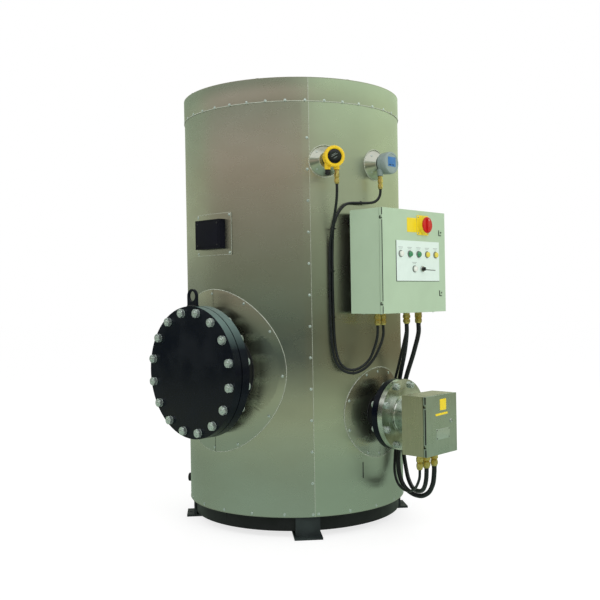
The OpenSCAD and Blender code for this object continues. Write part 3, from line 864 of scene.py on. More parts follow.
@dataclass(frozen=True)
class Viewpoint:
    """A camera at standing height, a quarter turn between the manway and the heater."""

    place: Point = (3140.6, -3245.4, 1142.3)
    azimuth: float = 44.06
    lens: float = 50.19
    yaw: float = -0.007
    pitch: float = -0.003
    roll: float = -0.017

    def build(self) -> None:
        """Makes the scene's camera."""
        camera = bpy.data.objects.new("camera", bpy.data.cameras.new("camera"))
        bpy.context.scene.collection.objects.link(camera)
        camera.data.lens = self.lens
        camera.data.sensor_width = 36.0
        camera.data.clip_start, camera.data.clip_end = 0.1, 100.0
        turn = Matrix.Rotation(math.radians(self.azimuth), 3, "Z")
        right = Vector((math.cos(self.yaw), math.sin(self.yaw), 0.0))
        ahead = Vector((-right.y, right.x, 0.0)) * math.cos(self.pitch) + Vector((0.0, 0.0, math.sin(self.pitch)))
        up = right.cross(ahead)
        tilted = right * math.cos(self.roll) + up * math.sin(self.roll)
        upright = up * math.cos(self.roll) - right * math.sin(self.roll)
        axes = Matrix((turn @ tilted, turn @ upright, -(turn @ ahead))).transposed().to_4x4()
        axes.translation = Vector(self.place) * MM
        camera.matrix_world = axes
        bpy.context.scene.camera = camera


@dataclass(frozen=True)
class Softbox:
    """A square soft lamp that looks at a point."""

    name: str
    place: Point
    width: float
    power: float
    aim: Point = (0.0, 0.0, 1000.0)
    seen: bool = False

    def build(self) -> None:
        """Hangs the lamp. Reflections see it only where seen says so."""
        lamp = bpy.data.lights.new(self.name, "AREA")
        lamp.shape = "SQUARE"
        lamp.size = self.width * MM
        lamp.energy = self.power
        made = bpy.data.objects.new(self.name, lamp)
        made.visible_glossy = self.seen
        bpy.context.scene.collection.objects.link(made)
        away = Vector(self.place) - Vector(self.aim)
        made.matrix_world = aimed(self.place, away)
        made.location = Vector(self.place) * MM


@dataclass(frozen=True)
class Screen(Finish):
    """Painted cloth that reflections see at its own colours: a dark foot, a mid-grey wall and a paler head."""

    bands: tuple[tuple[float, str], ...] = ()

    def detail(self, look: Look) -> None:
        """Lights the cloth evenly and blends its bands by their heights.

        Args:
            look: the material in the making.
        """
        look.fix("Base Color", srgb("000000"))
        look.fix("Specular IOR Level", 0.0)
        look.fix("Emission Strength", 1.0)
        top = self.bands[-1][0]
        height = add(look.tree, "ShaderNodeSeparateXYZ", links={0: look.place}).outputs["Z"]
        span = {"From Min": 0.0, "From Max": top * MM, "To Min": 0.0, "To Max": 1.0}
        share = add(look.tree, "ShaderNodeMapRange", values=span, links={"Value": height}).outputs["Result"]
        blend = add(look.tree, "ShaderNodeValToRGB", links={0: share})
        stops = blend.color_ramp.elements
        for _ in self.bands[2:]:
            stops.new(0.5)
        for i, (height, colour) in enumerate(self.bands):
            stops[i].position = height / top
            stops[i].color = srgb(colour)
        look.feed("Emission Color", blend.outputs["Color"])


@dataclass(frozen=True)
class Flag:
    """A curved grey screen around the set. Only reflections see it, so that bright metal gets its darker side."""

    name: str
    start: float
    end: float
    bands: tuple[tuple[float, str], ...]
    distance: float = 6000.0
    low: float = -1500.0
    high: float = 4200.0

    def build(self) -> None:
        """Stands the screen up."""
        near, far = self.distance, self.distance + 20.0
        strip = [(near, self.low), (near, self.high), (far, self.high), (far, self.low)]
        cloth = Screen(self.name + "_cloth", self.bands[-1][1], 1.0, 0.0, self.bands)
        made = turn_strip(strip, self.start, self.end, 48).piece(self.name, cloth)
        made.visible_camera = made.visible_diffuse = made.visible_shadow = made.visible_transmission = False
        made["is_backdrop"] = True


@dataclass(frozen=True)
class FloorFinish(Finish):
    """Pale studio floor: it melts into the backdrop and keeps a soft shadow."""

    lit: float = 0.6
    glow: float = 1.25
    near: str = "97ab99"
    far: str = "bfcaaa"

    def surface(self, tree: Tree, shader: Node) -> None:
        """Makes it white with some real shade for the eye, and darker in reflections.

        Args:
            tree: the material's tree.
            shader: the plain shader, which the floor does without.
        """
        tree.nodes.remove(shader)
        white, seen = srgb(self.colour), add(tree, "ShaderNodeLightPath").outputs
        even = add(tree, "ShaderNodeEmission", values={"Color": white, "Strength": self.glow}).outputs[0]
        shade = add(tree, "ShaderNodeBsdfDiffuse", values={"Color": white}).outputs[0]
        lit = add(tree, "ShaderNodeMixShader", values={0: self.lit}, links={1: shade, 2: even}).outputs[0]
        look = Look(tree, shade.node, add(tree, "ShaderNodeTexCoord").outputs["Object"])
        away = add(tree, "ShaderNodeVectorMath", {"operation": "LENGTH"}, links={0: look.place}).outputs["Value"]
        tint = look.blend(self.near, self.far, Share(away, 0.0, 1.0, 2.0, 5.5))
        dim = add(tree, "ShaderNodeEmission", values={"Strength": 1.0}, links={"Color": tint}).outputs[0]
        eye = add(tree, "ShaderNodeMixShader", links={0: seen["Is Camera Ray"], 1: shade, 2: lit}).outputs[0]
        plain = add(tree, "ShaderNodeMixShader", links={0: seen["Is Glossy Ray"], 1: eye, 2: dim}).outputs[0]
        add(tree, "ShaderNodeOutputMaterial", links={"Surface": plain})


def bands(*colours: str) -> tuple[tuple[float, str], ...]:
    """Gives a screen's colours the heights that all screens share, in millimetres."""
    return tuple(zip((0.0, 330.0, 600.0, 1000.0, 1300.0, 1850.0, 2400.0, 3400.0, 4200.0), colours))


# The colours of the screens that bright metal mirrors, from the floor up
FAR_LEFT = bands("b0bda4", "4f5854", "505651", "7f8a7e", "97a090", "bcc6aa", "bac4a9", "9aac95", "a4baa3")
LEFT = bands("b5bfa3", "39454a", "3a4648", "748475", "838b7a", "8f8d7e", "a89f92", "8d9384", "8a9a88")
LEFT = (*LEFT[:7], (2850.0, "c3b5ab"), *LEFT[7:])
RIGHT = bands("b5bfa3", "665f4c", "645a46", "73745d", "808a76", "9ea790", "bfc8b0", "cde0c2", "d8f0d4")
FAR_RIGHT = bands("bac5a8", "7a715b", "7a6e56", "89896c", "98a083", "c3cca8", "d6e3bd", "dcf0cf", "e0f6da")


@dataclass
class Studio:
    """A white room with soft lamps around the vessel."""

    sky: float = 0.62
    lamps: tuple[Softbox, ...] = (
        Softbox("lamp_high_right", (4200.0, -1500.0, 4200.0), 2600.0, 52.0),
        Softbox("lamp_low_right", (4600.0, 600.0, 1500.0), 1800.0, 16.0, (600.0, 0.0, 900.0)),
        Softbox("lamp_front_left", (-1500.0, -4600.0, 3400.0), 2600.0, 20.0),
        Softbox("lamp_back", (-3200.0, 3600.0, 4200.0), 2600.0, 40.0),
    )
    flags: tuple[Flag, ...] = (
        Flag("screen_far_left", -155.0, -50.0, FAR_LEFT),
        Flag("screen_left", -50.0, 60.0, LEFT),
        Flag("screen_right", 60.0, 128.0, RIGHT),
        Flag("screen_far_right", 128.0, 205.0, FAR_RIGHT),
    )

    def build(self) -> None:
        """Lays the floor, lights the room and stands the screens up."""
        side, thick, corner = 60000.0, 20.0, 1000.0
        floor = Form().slab(Matrix.Identity(4), side, side, -thick, 0.0, corner)
        floor.piece("studio_floor", FloorFinish("pale_studio_floor", "ffffff", 1.0))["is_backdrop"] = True
        self.light_room()
        for thing in (*self.lamps, *self.flags):
            thing.build()
        bpy.context.scene.view_settings.view_transform = "Standard"
        LOG.info("built the studio")

    def light_room(self) -> None:
        """Makes the white surroundings: full white where they are seen, softer where they light the set."""
        world = bpy.data.worlds.new("white_room")
        bpy.context.scene.world = world
        world.use_nodes = True
        tree = world.node_tree
        tree.nodes.clear()
        seen = add(tree, "ShaderNodeLightPath").outputs
        share = seen["Is Camera Ray"]
        for other in ("Is Glossy Ray", "Is Transmission Ray"):
            links = {0: share, 1: seen[other]}
            share = add(tree, "ShaderNodeMath", {"operation": "MAXIMUM"}, links=links).outputs[0]
        soft, full = (
            add(tree, "ShaderNodeBackground", values={"Color": srgb("ffffff"), "Strength": strength}).outputs[0]
            for strength in (self.sky, 1.0)
        )
        room = add(tree, "ShaderNodeMixShader", links={0: share, 1: soft, 2: full})
        add(tree, "ShaderNodeOutputWorld", links={"Surface": room.outputs[0]})


# ---- cables


@dataclass(frozen=True)
class Cable:
    """A sheathed cable on one smooth route from gland to gland."""

    name: str
    radius: float
    length: float
    route: tuple[Point, ...]

    def lay(self, ties: Sequence[bpy.types.Object] = ()) -> None:
        """Lays the cable. The ties are the pieces that sit on it.

        Args:
            ties: the pieces that sit on it; not used.
        """
        data = bpy.data.curves.new(self.name + "_run", "CURVE")
        data.dimensions = "3D"
        data.bevel_depth = self.radius * MM
        data.bevel_resolution = 5
        data.resolution_u = 10
        data.use_fill_caps = True
        spline = data.splines.new("BEZIER")
        points = [Vector(p) * MM for p in self.route]
        spline.bezier_points.add(len(points) - 1)
        for knot, here, (before, after) in zip(spline.bezier_points, points, self.handles(points)):
            knot.handle_left_type = knot.handle_right_type = "FREE"
            knot.co, knot.handle_left, knot.handle_right = here, before, after
        data.materials.append(Finishes.SHEATH.material())
        made = bpy.data.objects.new(self.name + "_run", data)
        bpy.context.scene.collection.objects.link(made)
        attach(made, "vessel")
        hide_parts(self.name)
        LOG.info("laid %s", self.name)

    @staticmethod
    def handles(points: Sequence[Vector]) -> list[tuple[Vector, Vector]]:
        """Gives the handles of a smooth curve through points, evened out by the root of their distances.

        Args:
            points: the points of the route.

        Returns:
            The handles before and after each point.
        """
        steps = [max((b - a).length, 1e-6) ** 0.5 for a, b in zip(points, points[1:])]
        found = [(points[0], points[0] + (points[1] - points[0]) / 3)]
        for i in range(1, len(points) - 1):
            here, before, after = points[i], steps[i - 1], steps[i]
            last, following = here - points[i - 1], points[i + 1] - here
            slope = last / before - (last + following) / (before + after) + following / after
            found.append((here - slope * before / 3, here + slope * after / 3))
        found.append((points[-1] + (points[-2] - points[-1]) / 3, points[-1]))
        return found


@dataclass(frozen=True)
class Tie:
    """A black nylon tie around one or two cables."""

    first: Point
    second: Point
    along: Point
    radius: float = 6.5
    band: float = 4.8

    def add_to(self, form: Form) -> None:
        """Adds the tie's band, head and tail.

        Args:
            form: the mesh to add to.
        """
        one, two = Vector(self.first), Vector(self.second)
        apart = two - one
        forward = Vector(self.along).normalized()
        side = (apart if apart.length > 0.1 else forward.orthogonal()).normalized()
        across = forward.cross(side).normalized()
        frame = Matrix((side, across, side.cross(across))).transposed().to_4x4()
        frame.translation = (one + two) / 2
        reach = self.radius + 1.4
        half = apart.length / 2
        form.slab(frame, 2 * (half + reach), 2 * reach, -self.band / 2, self.band / 2, reach - 0.05)
        form.slab(shifted(frame, half * 0.4, -reach - 1.5), 6.5, 6.0, -3.4, 3.4, 1.0)
        form.slab(shifted(frame, half * 0.4 + 1.0, -reach - 5.0), 1.6, 7.0, -2.0, 2.0, 0.6)


@dataclass
class Cables:
    """The five cables: two from the instruments to the panel, three from the panel to the terminal box."""

    runs: tuple[Cable, ...] = (
        Cable("yellow_cable", 6.5, 1244.0, (
            (601, -324, 1663), (601, -324, 1640), (591, -317, 1590), (541, -290, 1475), (520, -282, 1420),
            (511, -280, 1360), (511, -280, 980), (516, -276, 895), (530, -266, 830), (556, -247, 793),
            (594, -218, 781), (631, -187, 800), (660, -159, 838), (681, -132, 895), (690, -110, 960),
            (690, -110, 1004),
        )),
        Cable("grey_cable", 6.5, 1343.6, (
            (626, -32, 1659), (626, -32, 1649), (623.8, -35.6, 1628), (617.6, -45.7, 1610), (608.3, -60.9, 1598),
            (597.4, -78.8, 1594), (577, -112, 1592), (548, -192, 1586), (534, -227, 1555), (522, -256, 1495),
            (517, -265, 1420), (517, -265, 980), (525, -264, 895), (541, -258, 836), (562, -242, 805),
            (593, -219, 796), (625, -192, 812), (652, -168, 847), (673, -161, 895), (687, -154, 945),
            (690, -152, 978), (690, -152, 1004),
        )),
        Cable("heater_cable_1", 6.5, 1152.0, (
            (650, 128, 1004), (650, 128, 980), (612, 108, 795), (580, 120, 715), (571, 142, 640), (570, 144, 500),
            (577, 112, 335), (596, 84, 265), (632, 60, 220), (684, 38, 200), (740, 14, 204), (797, -22, 233),
            (837, -51, 274), (849, -59, 296), (853, -62, 320), (853, -62, 331),
        )),
        Cable("heater_cable_2", 10.5, 1144.0, (
            (690, 76, 1004), (690, 76, 965), (668, 90, 878), (596, 132, 700), (590, 138, 600), (588, 144, 470),
            (594, 158, 370), (612, 150, 300), (650, 122, 236), (695, 94, 202), (745, 66, 197), (801, 28, 214),
            (829, 9, 241), (847, -4, 278), (853, -8, 320), (853, -8, 331),
        )),
        Cable("heater_cable_3", 11.5, 1155.0, (
            (690, 174, 1004), (690, 174, 960), (672, 158, 865), (618, 146, 690), (616, 150, 590), (604, 114, 390),
            (604, 103, 318), (615, 98, 253), (646, 93, 200), (696, 91, 172), (752, 87, 169), (801, 79, 194),
            (835, 67, 242), (850, 57, 292), (853, 55, 318), (853, 55, 331),
        )),
    )
    ties: tuple[Tie, ...] = (
        Tie((536, -288, 1465), (519, -262, 1465), UP),
        Tie((511, -280, 1265), (517, -265, 1265), UP),
        Tie((511, -280, 1047), (517, -265, 1047), UP),
        Tie((594, -218, 781), (593, -219, 796), (0.77, 0.64, 0.05)),
    )
    single: Tie = Tie((575, -117, 1591.8), (575, -117, 1591.8), (-0.36, -0.93, -0.06))

    def build(self, shop: Workshop) -> None:
        """Lays the cables and pulls the ties tight.

        Args:
            shop: the workshop.
        """
        pair, alone = Form(), Form()
        for tie in self.ties:
            tie.add_to(pair)
        self.single.add_to(alone)
        paired = shop.put(pair, "instrument_cable_ties", Finishes.BLACK_PLASTIC)
        lone = shop.put(alone, "grey_cable_tie", Finishes.BLACK_PLASTIC)
        for run in self.runs:
            run.lay({"yellow_cable": [paired], "grey_cable": [lone]}.get(run.name, []))


# ---- cladding


def curved(azimuth: float, height: float, x: float, y: float, radius: float) -> Vector:
    """Gives the point of a cylinder that lies x across and y up from a place on it.

    Args:
        azimuth: the place's angle.
        height: the place's height.
        x: distance to the right, measured square to the radial line.
        y: distance up.
        radius: the cylinder's radius.

    Returns:
        The point.
    """
    return radial(azimuth, height) @ Vector((x, y, math.sqrt(max(radius * radius - x * x, 0.0))))


def on_skin(azimuth: float, height: float, x: float, y: float, radius: float) -> Matrix:
    """Makes a frame on a cylinder that looks straight out of it, x across and y up from a place."""
    point = curved(azimuth, height, x, y, radius)
    return aimed(point, (point.x, point.y, 0.0))


def screw(form: Form, frame: Matrix, radius: float = 5.0, height: float = 2.6) -> None:
    """Adds a sheet screw with a washer and a domed head."""
    washer = [(radius * 1.45, 0.0), (radius * 1.35, 0.7)]
    form.lathe(frame, [*washer, (radius, 0.8), (radius * 0.94, height * 0.62), (radius * 0.6, height)], 12)


def turn_strip(outline: Profile, start: float, end: float, steps: int) -> Form:
    """Draws a closed outline of radius and height about the vessel's axis.

    Args:
        outline: the strip's section.
        start: first angle, from -Y towards +X.
        end: last angle, less than a full turn away.
        steps: sections along the way.

    Returns:
        The strip's mesh.
    """
    angles = [start + (end - start) * i / steps for i in range(steps + 1)]
    return Form().loft([[about(angle, r, z) for r, z in outline] for angle in angles])


@dataclass
class Cladding:
    """Three rolled sheets with screwed laps, a top band, a roof and the small fixings."""

    radius: float = field(init=False)
    bottom: float = field(init=False)
    top: float = field(init=False)
    band_bottom: float = field(init=False)
    sheet: float = 1.5
    seams: tuple[float, ...] = (52.3, 172.3, 292.3)
    lap: float = 3.0
    screw_pitch: float = 148.5

    def build(self, shop: Workshop) -> None:
        """Builds the cladding from the base ring to the roof.

        Args:
            shop: the workshop.
        """
        rim = extent("cladding_roof")[1]
        self.radius, self.top = rim.x - self.sheet, rim.z
        self.bottom = extent("cladding_base_ring")[0].z
        self.band_bottom = extent("cladding_top_band")[0].z
        self.sheets(shop)
        self.laps(shop)
        self.top_band(shop)
        self.roof(shop)
        self.fixings(shop)
        shop.dress("cladding_base_ring", Finishes.CLADDING)
        shop.dress("vessel_shell", Finishes.ROUGH_BLACK)
        shop.dress("vessel_upper_head", Finishes.ROUGH_BLACK)

    def wave(self, azimuth: float, z: float) -> float:
        """Gives the slight dents and waves of thin sheet over insulation, always inwards.

        Args:
            azimuth: the place's angle.
            z: its height.

        Returns:
            The change of the radius.
        """
        a = math.radians(azimuth)
        wide = noise.noise(Vector((math.sin(a) * 1.6, math.cos(a) * 1.6, z / 620.0)))
        small = noise.noise(Vector((math.sin(a) * 4.0 + 7.0, math.cos(a) * 4.0, z / 230.0)))
        return -1.1 - 0.9 * wide - 0.25 * small

    def sheets(self, shop: Workshop) -> None:
        """Rolls the three sheets. Each starts under the last one and ends on top of the next.

        Args:
            shop: the workshop.
        """
        heights = [self.bottom + (self.band_bottom + 20 - self.bottom) * i / 40 for i in range(41)]
        outer = self.radius - 0.4
        outline = [(outer, z) for z in heights] + [(outer - self.sheet, z) for z in heights[::-1]]
        angles = [0.0, 1.5, 3.0, 3.4, 3.9, 4.4, 5.0] + [6.0 + 1.95 * i for i in range(59)] + [121.0, 122.5]
        for number, start in enumerate(self.seams):
            rings = []
            for back in angles[::-1]:
                azimuth = start + 120.0 - back
                lift = 1.7 * min(max((self.lap + 4.4 - back) / 4.0, 0.0), 1.0)
                rings.append([about(azimuth, r + self.wave(azimuth, z) + lift, z) for r, z in outline])
            finish = Finishes.CLADDING if number else Finishes.CLADDING_PALE
            name, replaced = f"cladding_sheet_{number + 1}", [] if number else ["cladding_shell"]
            shop.put(Form().loft(rings), name, finish, replaces=replaced, sharp=50.0)

    def laps(self, shop: Workshop) -> None:
        """Adds the bright cut edge of each lap.

        Args:
            shop: the workshop.
        """
        form = Form()
        heights = [self.bottom + (self.band_bottom - self.bottom) * i / 24 for i in range(25)]
        for start in self.seams:
            form.tube([about(start + 0.1, self.radius - 0.2 + self.wave(start, z), z) for z in heights], 1.3, 8)
        shop.put(form, "cladding_lap_edges", Finishes.CLADDING_EDGE)

    def top_band(self, shop: Workshop) -> None:
        """Rolls the top band in two halves with a bright cut lower edge.

        Args:
            shop: the workshop.
        """
        r, low, high = self.radius + 1.3, self.band_bottom, self.top - 3.0
        outline = [(r - 1.6, low), (r - 0.2, low), (r, low + 1.0), (r, high), (r - 1.6, high)]
        for number, finish in enumerate((Finishes.CLADDING_PALE, Finishes.CLADDING)):
            start = self.seams[0] + 180.0 * number
            half = turn_strip(outline, start, start + 180.0, 90)
            replaced = [] if number else ["cladding_top_band"]
            shop.put(half, f"top_band_{number + 1}", finish, replaces=replaced, sharp=50.0)
        edge = Form()
        edge.ring([about(angle, r - 0.2, low + 0.8) for angle in around(180)], 1.4, 6)
        for start in (self.seams[0], self.seams[0] + 180.0):
            edge.tube([about(start, r - 0.3, z) for z in (low + 1.0, high)], 1.2, 8)
        shop.put(edge, "top_band_edges", Finishes.CLADDING_EDGE)

    def roof(self, shop: Workshop) -> None:
        """Adds the roof with its rolled rim, its three sectors and a capped centre.

        Args:
            shop: the workshop.
        """
        r = self.radius + self.sheet
        level = Matrix.Translation((0.0, 0.0, self.top))
        rim = [(r - 3.0, -5.0), (r - 0.3, -4.6), (r, -3.6), (r, -1.2), (r - 1.4, -0.2)]
        flat = [(r - 12.0, -0.4), (r - 30.0, -1.6), (r - 200.0, -1.0), (60.0, -0.8)]
        sheet = Form().lathe(level, rim + flat, 180)
        shop.put(sheet, "roof_sheet", Finishes.CLADDING, replaces=["cladding_roof"], sharp=40.0)
        laps, screws = Form(), Form()
        for azimuth in self.seams:
            frame = radial(azimuth, self.top)
            along = aimed(frame @ Vector((0.0, 0.0, (r - 20.0) / 2 + 25.0)), UP, frame.col[2].xyz)
            laps.slab(along, 42.0, r - 76.0, -1.6, -0.1, 3.0, 0.5)
            for i in range(5):
                for side in (-12.0, 12.0):
                    spot = frame @ Vector((side, -0.2, 100.0 + i * 105.0))
                    screw(screws, aimed(spot, UP), 4.5, 2.0)
        for azimuth in around(8, 28.0):
            spot = radial(azimuth, self.top, r - 9.0)
            laps.slab(aimed(spot.translation, UP, spot.col[2].xyz), 16.0, 17.0, -1.0, 1.0, 2.0, 0.4)
        laps.lathe(level, [(70.0, -1.6), (70.0, -0.4), (66.0, 0.0), (12.0, 0.6)], 48)
        shop.put(laps, "roof_laps", Finishes.CLADDING)
        shop.put(screws, "roof_screws", Finishes.ZINC)

    def fixings(self, shop: Workshop) -> None:
        """Adds the sheet screws of the laps, the band and the lower edge, and the slot by the heater.

        Args:
            shop: the workshop.
        """
        form = Form()
        count = int((self.band_bottom - self.bottom) // self.screw_pitch)
        for start in self.seams:
            for i in range(count):
                screw(form, radial(start - 0.9, self.bottom + 11.0 + i * self.screw_pitch, self.radius + 0.2))
        for angle in around(38, 3.4):
            screw(form, radial(angle, self.band_bottom + 5.0, self.radius + 1.3), 5.2, 2.4)
        for angle in around(22, 5.0):
            screw(form, radial(angle, self.bottom + 13.0, self.radius - 1.4))
        shop.put(form, "cladding_screws", Finishes.ZINC)
        slot = Form().slab(radial(78.3, 302.0, self.radius - 2.2), 5.0, 78.0, 0.0, 2.0, 2.4, 0.5)
        shop.put(slot, "cladding_slot", Finishes.BLACK_PLASTIC)


@dataclass(frozen=True)
class Rosette:
    """A sheet ring in two halves that closes the cladding around a nozzle. It is flat sheet bent to the vessel."""

    name: str
    azimuth: float
    height: float
    outer: float
    wide: float
    hole: float
    screws: tuple[float, ...]
    skin: float = SKIN

    def spot(self, radius: float, angle: float, lift: float) -> Vector:
        """Gives a point of the sheet, which the bend has made narrower towards its rim.

        Args:
            radius: distance from the ring's middle before the bend.
            angle: angle about it, in degrees.
            lift: height above the cladding.

        Returns:
            The point.
        """
        share = (radius - self.hole) / (self.outer - self.hole)
        narrow = 1.0 + (self.wide / self.outer - 1.0) * share
        x, y = polar(radius, angle)
        return curved(self.azimuth, self.height, narrow * x, y, self.skin + lift)

    def build(self, shop: Workshop) -> None:
        """Builds both halves with their rolled edge, the sealing bead and the screws.

        Args:
            shop: the workshop.
        """
        sheet, screws = Form(), Form()
        inner, outer = self.hole + 0.5, self.outer
        section = [(inner, 0.3), (inner, 1.8), (outer - 2.0, 1.8), (outer, 1.4), (outer, 0.3)]
        for start in (-89.75, 90.25):
            angles = [start + 179.5 * i / 48 for i in range(49)]
            sheet.loft([[self.spot(r, a, lift) for r, lift in section] for a in angles])
        bright = Form().ring([self.spot(outer - 0.8, a, 0.9) for a in around(120)], 1.5, 6)
        seal = Form().ring([self.spot(self.hole + 1.5, a, 1.8) for a in around(120)], 3.2, 6)
        places = [(polar(self.wide - 15.0, angle)[0], polar(outer - 15.0, angle)[1]) for angle in self.screws]
        for x, y in (*places, (-8.0, 22.0 - outer), (-8.0, outer - 22.0)):
            screw(screws, on_skin(self.azimuth, self.height, x, y, self.skin + 1.8))
        shop.put(sheet, self.name + "_halves", Finishes.CLADDING, replaces=[self.name], sharp=50.0)
        shop.put(bright, self.name + "_rolled_edge", Finishes.CLADDING_EDGE)
        shop.put(seal, self.name + "_seal", Finishes.RUBBER)
        shop.put(screws, self.name + "_screws", Finishes.ZINC)


# ---- bolted flanges


@dataclass(frozen=True)
class StudCircle:
    """A circle of studs with a heavy hexagon nut and a washer on each side."""

    name: str
    azimuth: float
    height: float
    pitch_radius: float
    count: int
    first: float
    stud: float
    flats: float
    back: float
    front: float
    nut: float
    spare: float = 1.0

    def build(self, shop: Workshop) -> None:
        """Builds the nuts, washers and studs. Each nut is turned a little differently, as a fitter leaves it.

        Args:
            shop: the workshop.
        """
        nuts, studs = Form(), Form()
        frame = radial(self.azimuth, self.height)
        washer, thick = self.flats * 0.53, 2.0
        front, back = self.front + thick, self.back - thick
        for i, angle in enumerate(around(self.count, self.first)):
            here = shifted(frame, *polar(self.pitch_radius, angle))
            here = here @ Matrix.Rotation(math.radians(i * 37.0 % 60.0), 4, "Z")
            for low in (self.front, back):
                high = low + thick
                nuts.lathe(here, [(washer, low), (washer, high - 0.3), (washer - 0.4, high)], 28)
            nuts.hexagon(here, self.flats, front, front + self.nut, 0.09)
            nuts.hexagon(here, self.flats, back - self.nut, back, 0.09)
            self.thread(studs, here, self.front + self.nut, 1.0)
            self.thread(studs, here, self.back - self.nut, -1.0)
        shop.put(nuts, self.name + "_nuts", Finishes.ZINC)
        shop.put(studs, self.name + "_studs", Finishes.ZINC)

    def thread(self, form: Form, frame: Matrix, start: float, way: float) -> None:
        """Adds the threaded end of a stud, with its ridges and a rounded point.

        Args:
            form: the mesh to add to.
            frame: the stud's frame.
            start: where its nut ends.
            way: 1 towards the front, -1 towards the back.
        """
        radius = self.stud / 2
        profile = [(radius * 0.9, start)]
        turns = int((self.spare + 3.0) // 2.5)
        for i in range(turns):
            z = start + way * (2.5 * i + 1.2)
            profile += [(radius, z), (radius * 0.9, z + way * 1.2)]
        end = start + way * (self.spare + 3.0)
        profile += [(radius * share, end + way * rise) for share, rise in ((0.86, 0.5), (0.62, 2.0), (0.25, 2.6))]
        form.lathe(frame, profile, 18)


def weld(form: Form, frame: Matrix, radius: float, size: float, steps: int = 96) -> None:
    """Adds a rippled weld bead around a pipe.

    Args:
        form: the mesh to add to.
        frame: the pipe's frame, with its origin in the weld.
        radius: the pipe's outside radius.
        size: the bead's radius.
        steps: points around.
    """
    path = []
    for i, angle in enumerate(around(steps)):
        x, y = polar(radius + 0.25 * size * math.sin(i * 2.1), angle)
        path.append(frame @ Vector((x, y, 0.15 * size * math.sin(i * 3.3))))
    form.ring(path, size, 6)


@dataclass
class Manway:
    """The blind-flanged manway with its studs, lifting eye and welds."""

    pitch: float = 577.9

    def build(self, shop: Workshop) -> None:
        """Builds what the solid model leaves out and paints the rest.

        Args:
            shop: the workshop.
        """
        low, high = extent("manway_cover")
        height = (low.z + high.z) / 2
        neck, back = extent("manway_neck")[1].x, -extent("manway_flange")[1].y
        StudCircle(
            "manway", 0.0, height, self.pitch / 2,
            count=16, first=11.25, stud=24.0, flats=38.0, back=back, front=-low.y, nut=17.0,
        ).build(shop)
        sheet = extent("manway_rosette")[1]
        screws = (-66.0, -33.0, -3.0, 30.0, 58.0, 122.0, 150.0, 180.0, 213.0, 246.0)
        Rosette("manway_rosette", 0.0, height, sheet.z - height, sheet.x, neck, screws).build(shop)
        beads = Form()
        weld(beads, radial(0.0, height, back - 4.0), neck + 1.0, 6.0)
        eye_low, eye_high = extent("lifting_eye")
        foot = radial(0.0, high.z)
        for z in (-eye_high.y - 1.0, -eye_low.y + 1.0):
            beads.tube([foot @ Vector((x, 1.5 - x * x / (2 * high.x), z)) for x in range(-33, 34, 11)], 4.5, 8)
        shop.put(beads, "manway_welds", Finishes.ROUGH_BLACK)
        for node in ("manway_cover", "manway_flange"):
            shop.dress(node, Finishes.FLANGE_BLACK, 2.5)
        shop.dress("lifting_eye", Finishes.BLACK, 2.0)
        shop.dress("manway_neck", Finishes.ROUGH_BLACK)
        shop.dress("manway_gasket", Finishes.RUBBER)


@dataclass
class Heater:
    """The flanged immersion heater: nozzle, stainless flange and the tube that carries its box."""

    pitch: float = 298.0

    def build(self, shop: Workshop) -> None:
        """Builds the studs, the turned steps and the welds, and dresses the flanges.

        Args:
            shop: the workshop.
        """
        low, high = extent("heater_flange")
        height = (low.z + high.z) / 2
        back, front = extent("nozzle_flange")[0].x, high.x
        tube_low, tube_high = extent("heater_tube")
        tube, end = (tube_high.y - tube_low.y) / 2, tube_high.x
        neck = extent("heater_nozzle")[1].y
        frame = radial(90.0, height)
        StudCircle(
            "heater", 90.0, height, self.pitch / 2,
            count=8, first=22.5, stud=20.0, flats=30.0, back=back, front=front, nut=13.0,
        ).build(shop)
        sheet = extent("heater_rosette")[1]
        screws = (-65.0, -25.0, 20.0, 65.0, 115.0, 160.0, 200.0, 245.0)
        Rosette("heater_rosette", 90.0, height, sheet.z - height, sheet.y, neck, screws).build(shop)
        turned = Form()
        foot = [(0.0, -0.5), (9.0, -0.5), (8.0, 1.5), (3.0, 3.0), (0.6, 9.0), (0.0, 9.0)]
        head = [(0.0, -7.0), (2.0, -7.0), (20.0, -5.0), (20.0, -0.4), (0.0, -0.4)]
        for start, profile in ((front, foot), (end, head)):
            turned.lathe(frame, [(tube + r, start + z) for r, z in profile], 72, wrap=True)
        for radius in (112.0, 118.0):
            ridge = [(0.0, -0.5), (1.6, -0.5), (1.2, 0.5), (0.4, 0.5)]
            turned.lathe(frame, [(radius + r, front + z) for r, z in ridge], 96, wrap=True)
        shop.put(turned, "heater_turned_steps", Finishes.STAINLESS)
        beads = Form()
        weld(beads, shifted(frame, z=back - 3.0), neck + 1.0, 5.0, 72)
        shop.put(beads, "heater_welds", Finishes.ROUGH_BLACK)
        shop.dress("heater_nozzle", Finishes.ROUGH_BLACK)
        shop.dress("nozzle_flange", Finishes.BLACK, 2.0)
        shop.dress("heater_gasket", Finishes.RUBBER)
        shop.dress("heater_flange", Finishes.STAINLESS, 1.5)
        # Its cool tint is a painted reflection, as on the terminal door.
        shop.dress("heater_tube", Finishes.BOX_FRONT)


# ---- glands


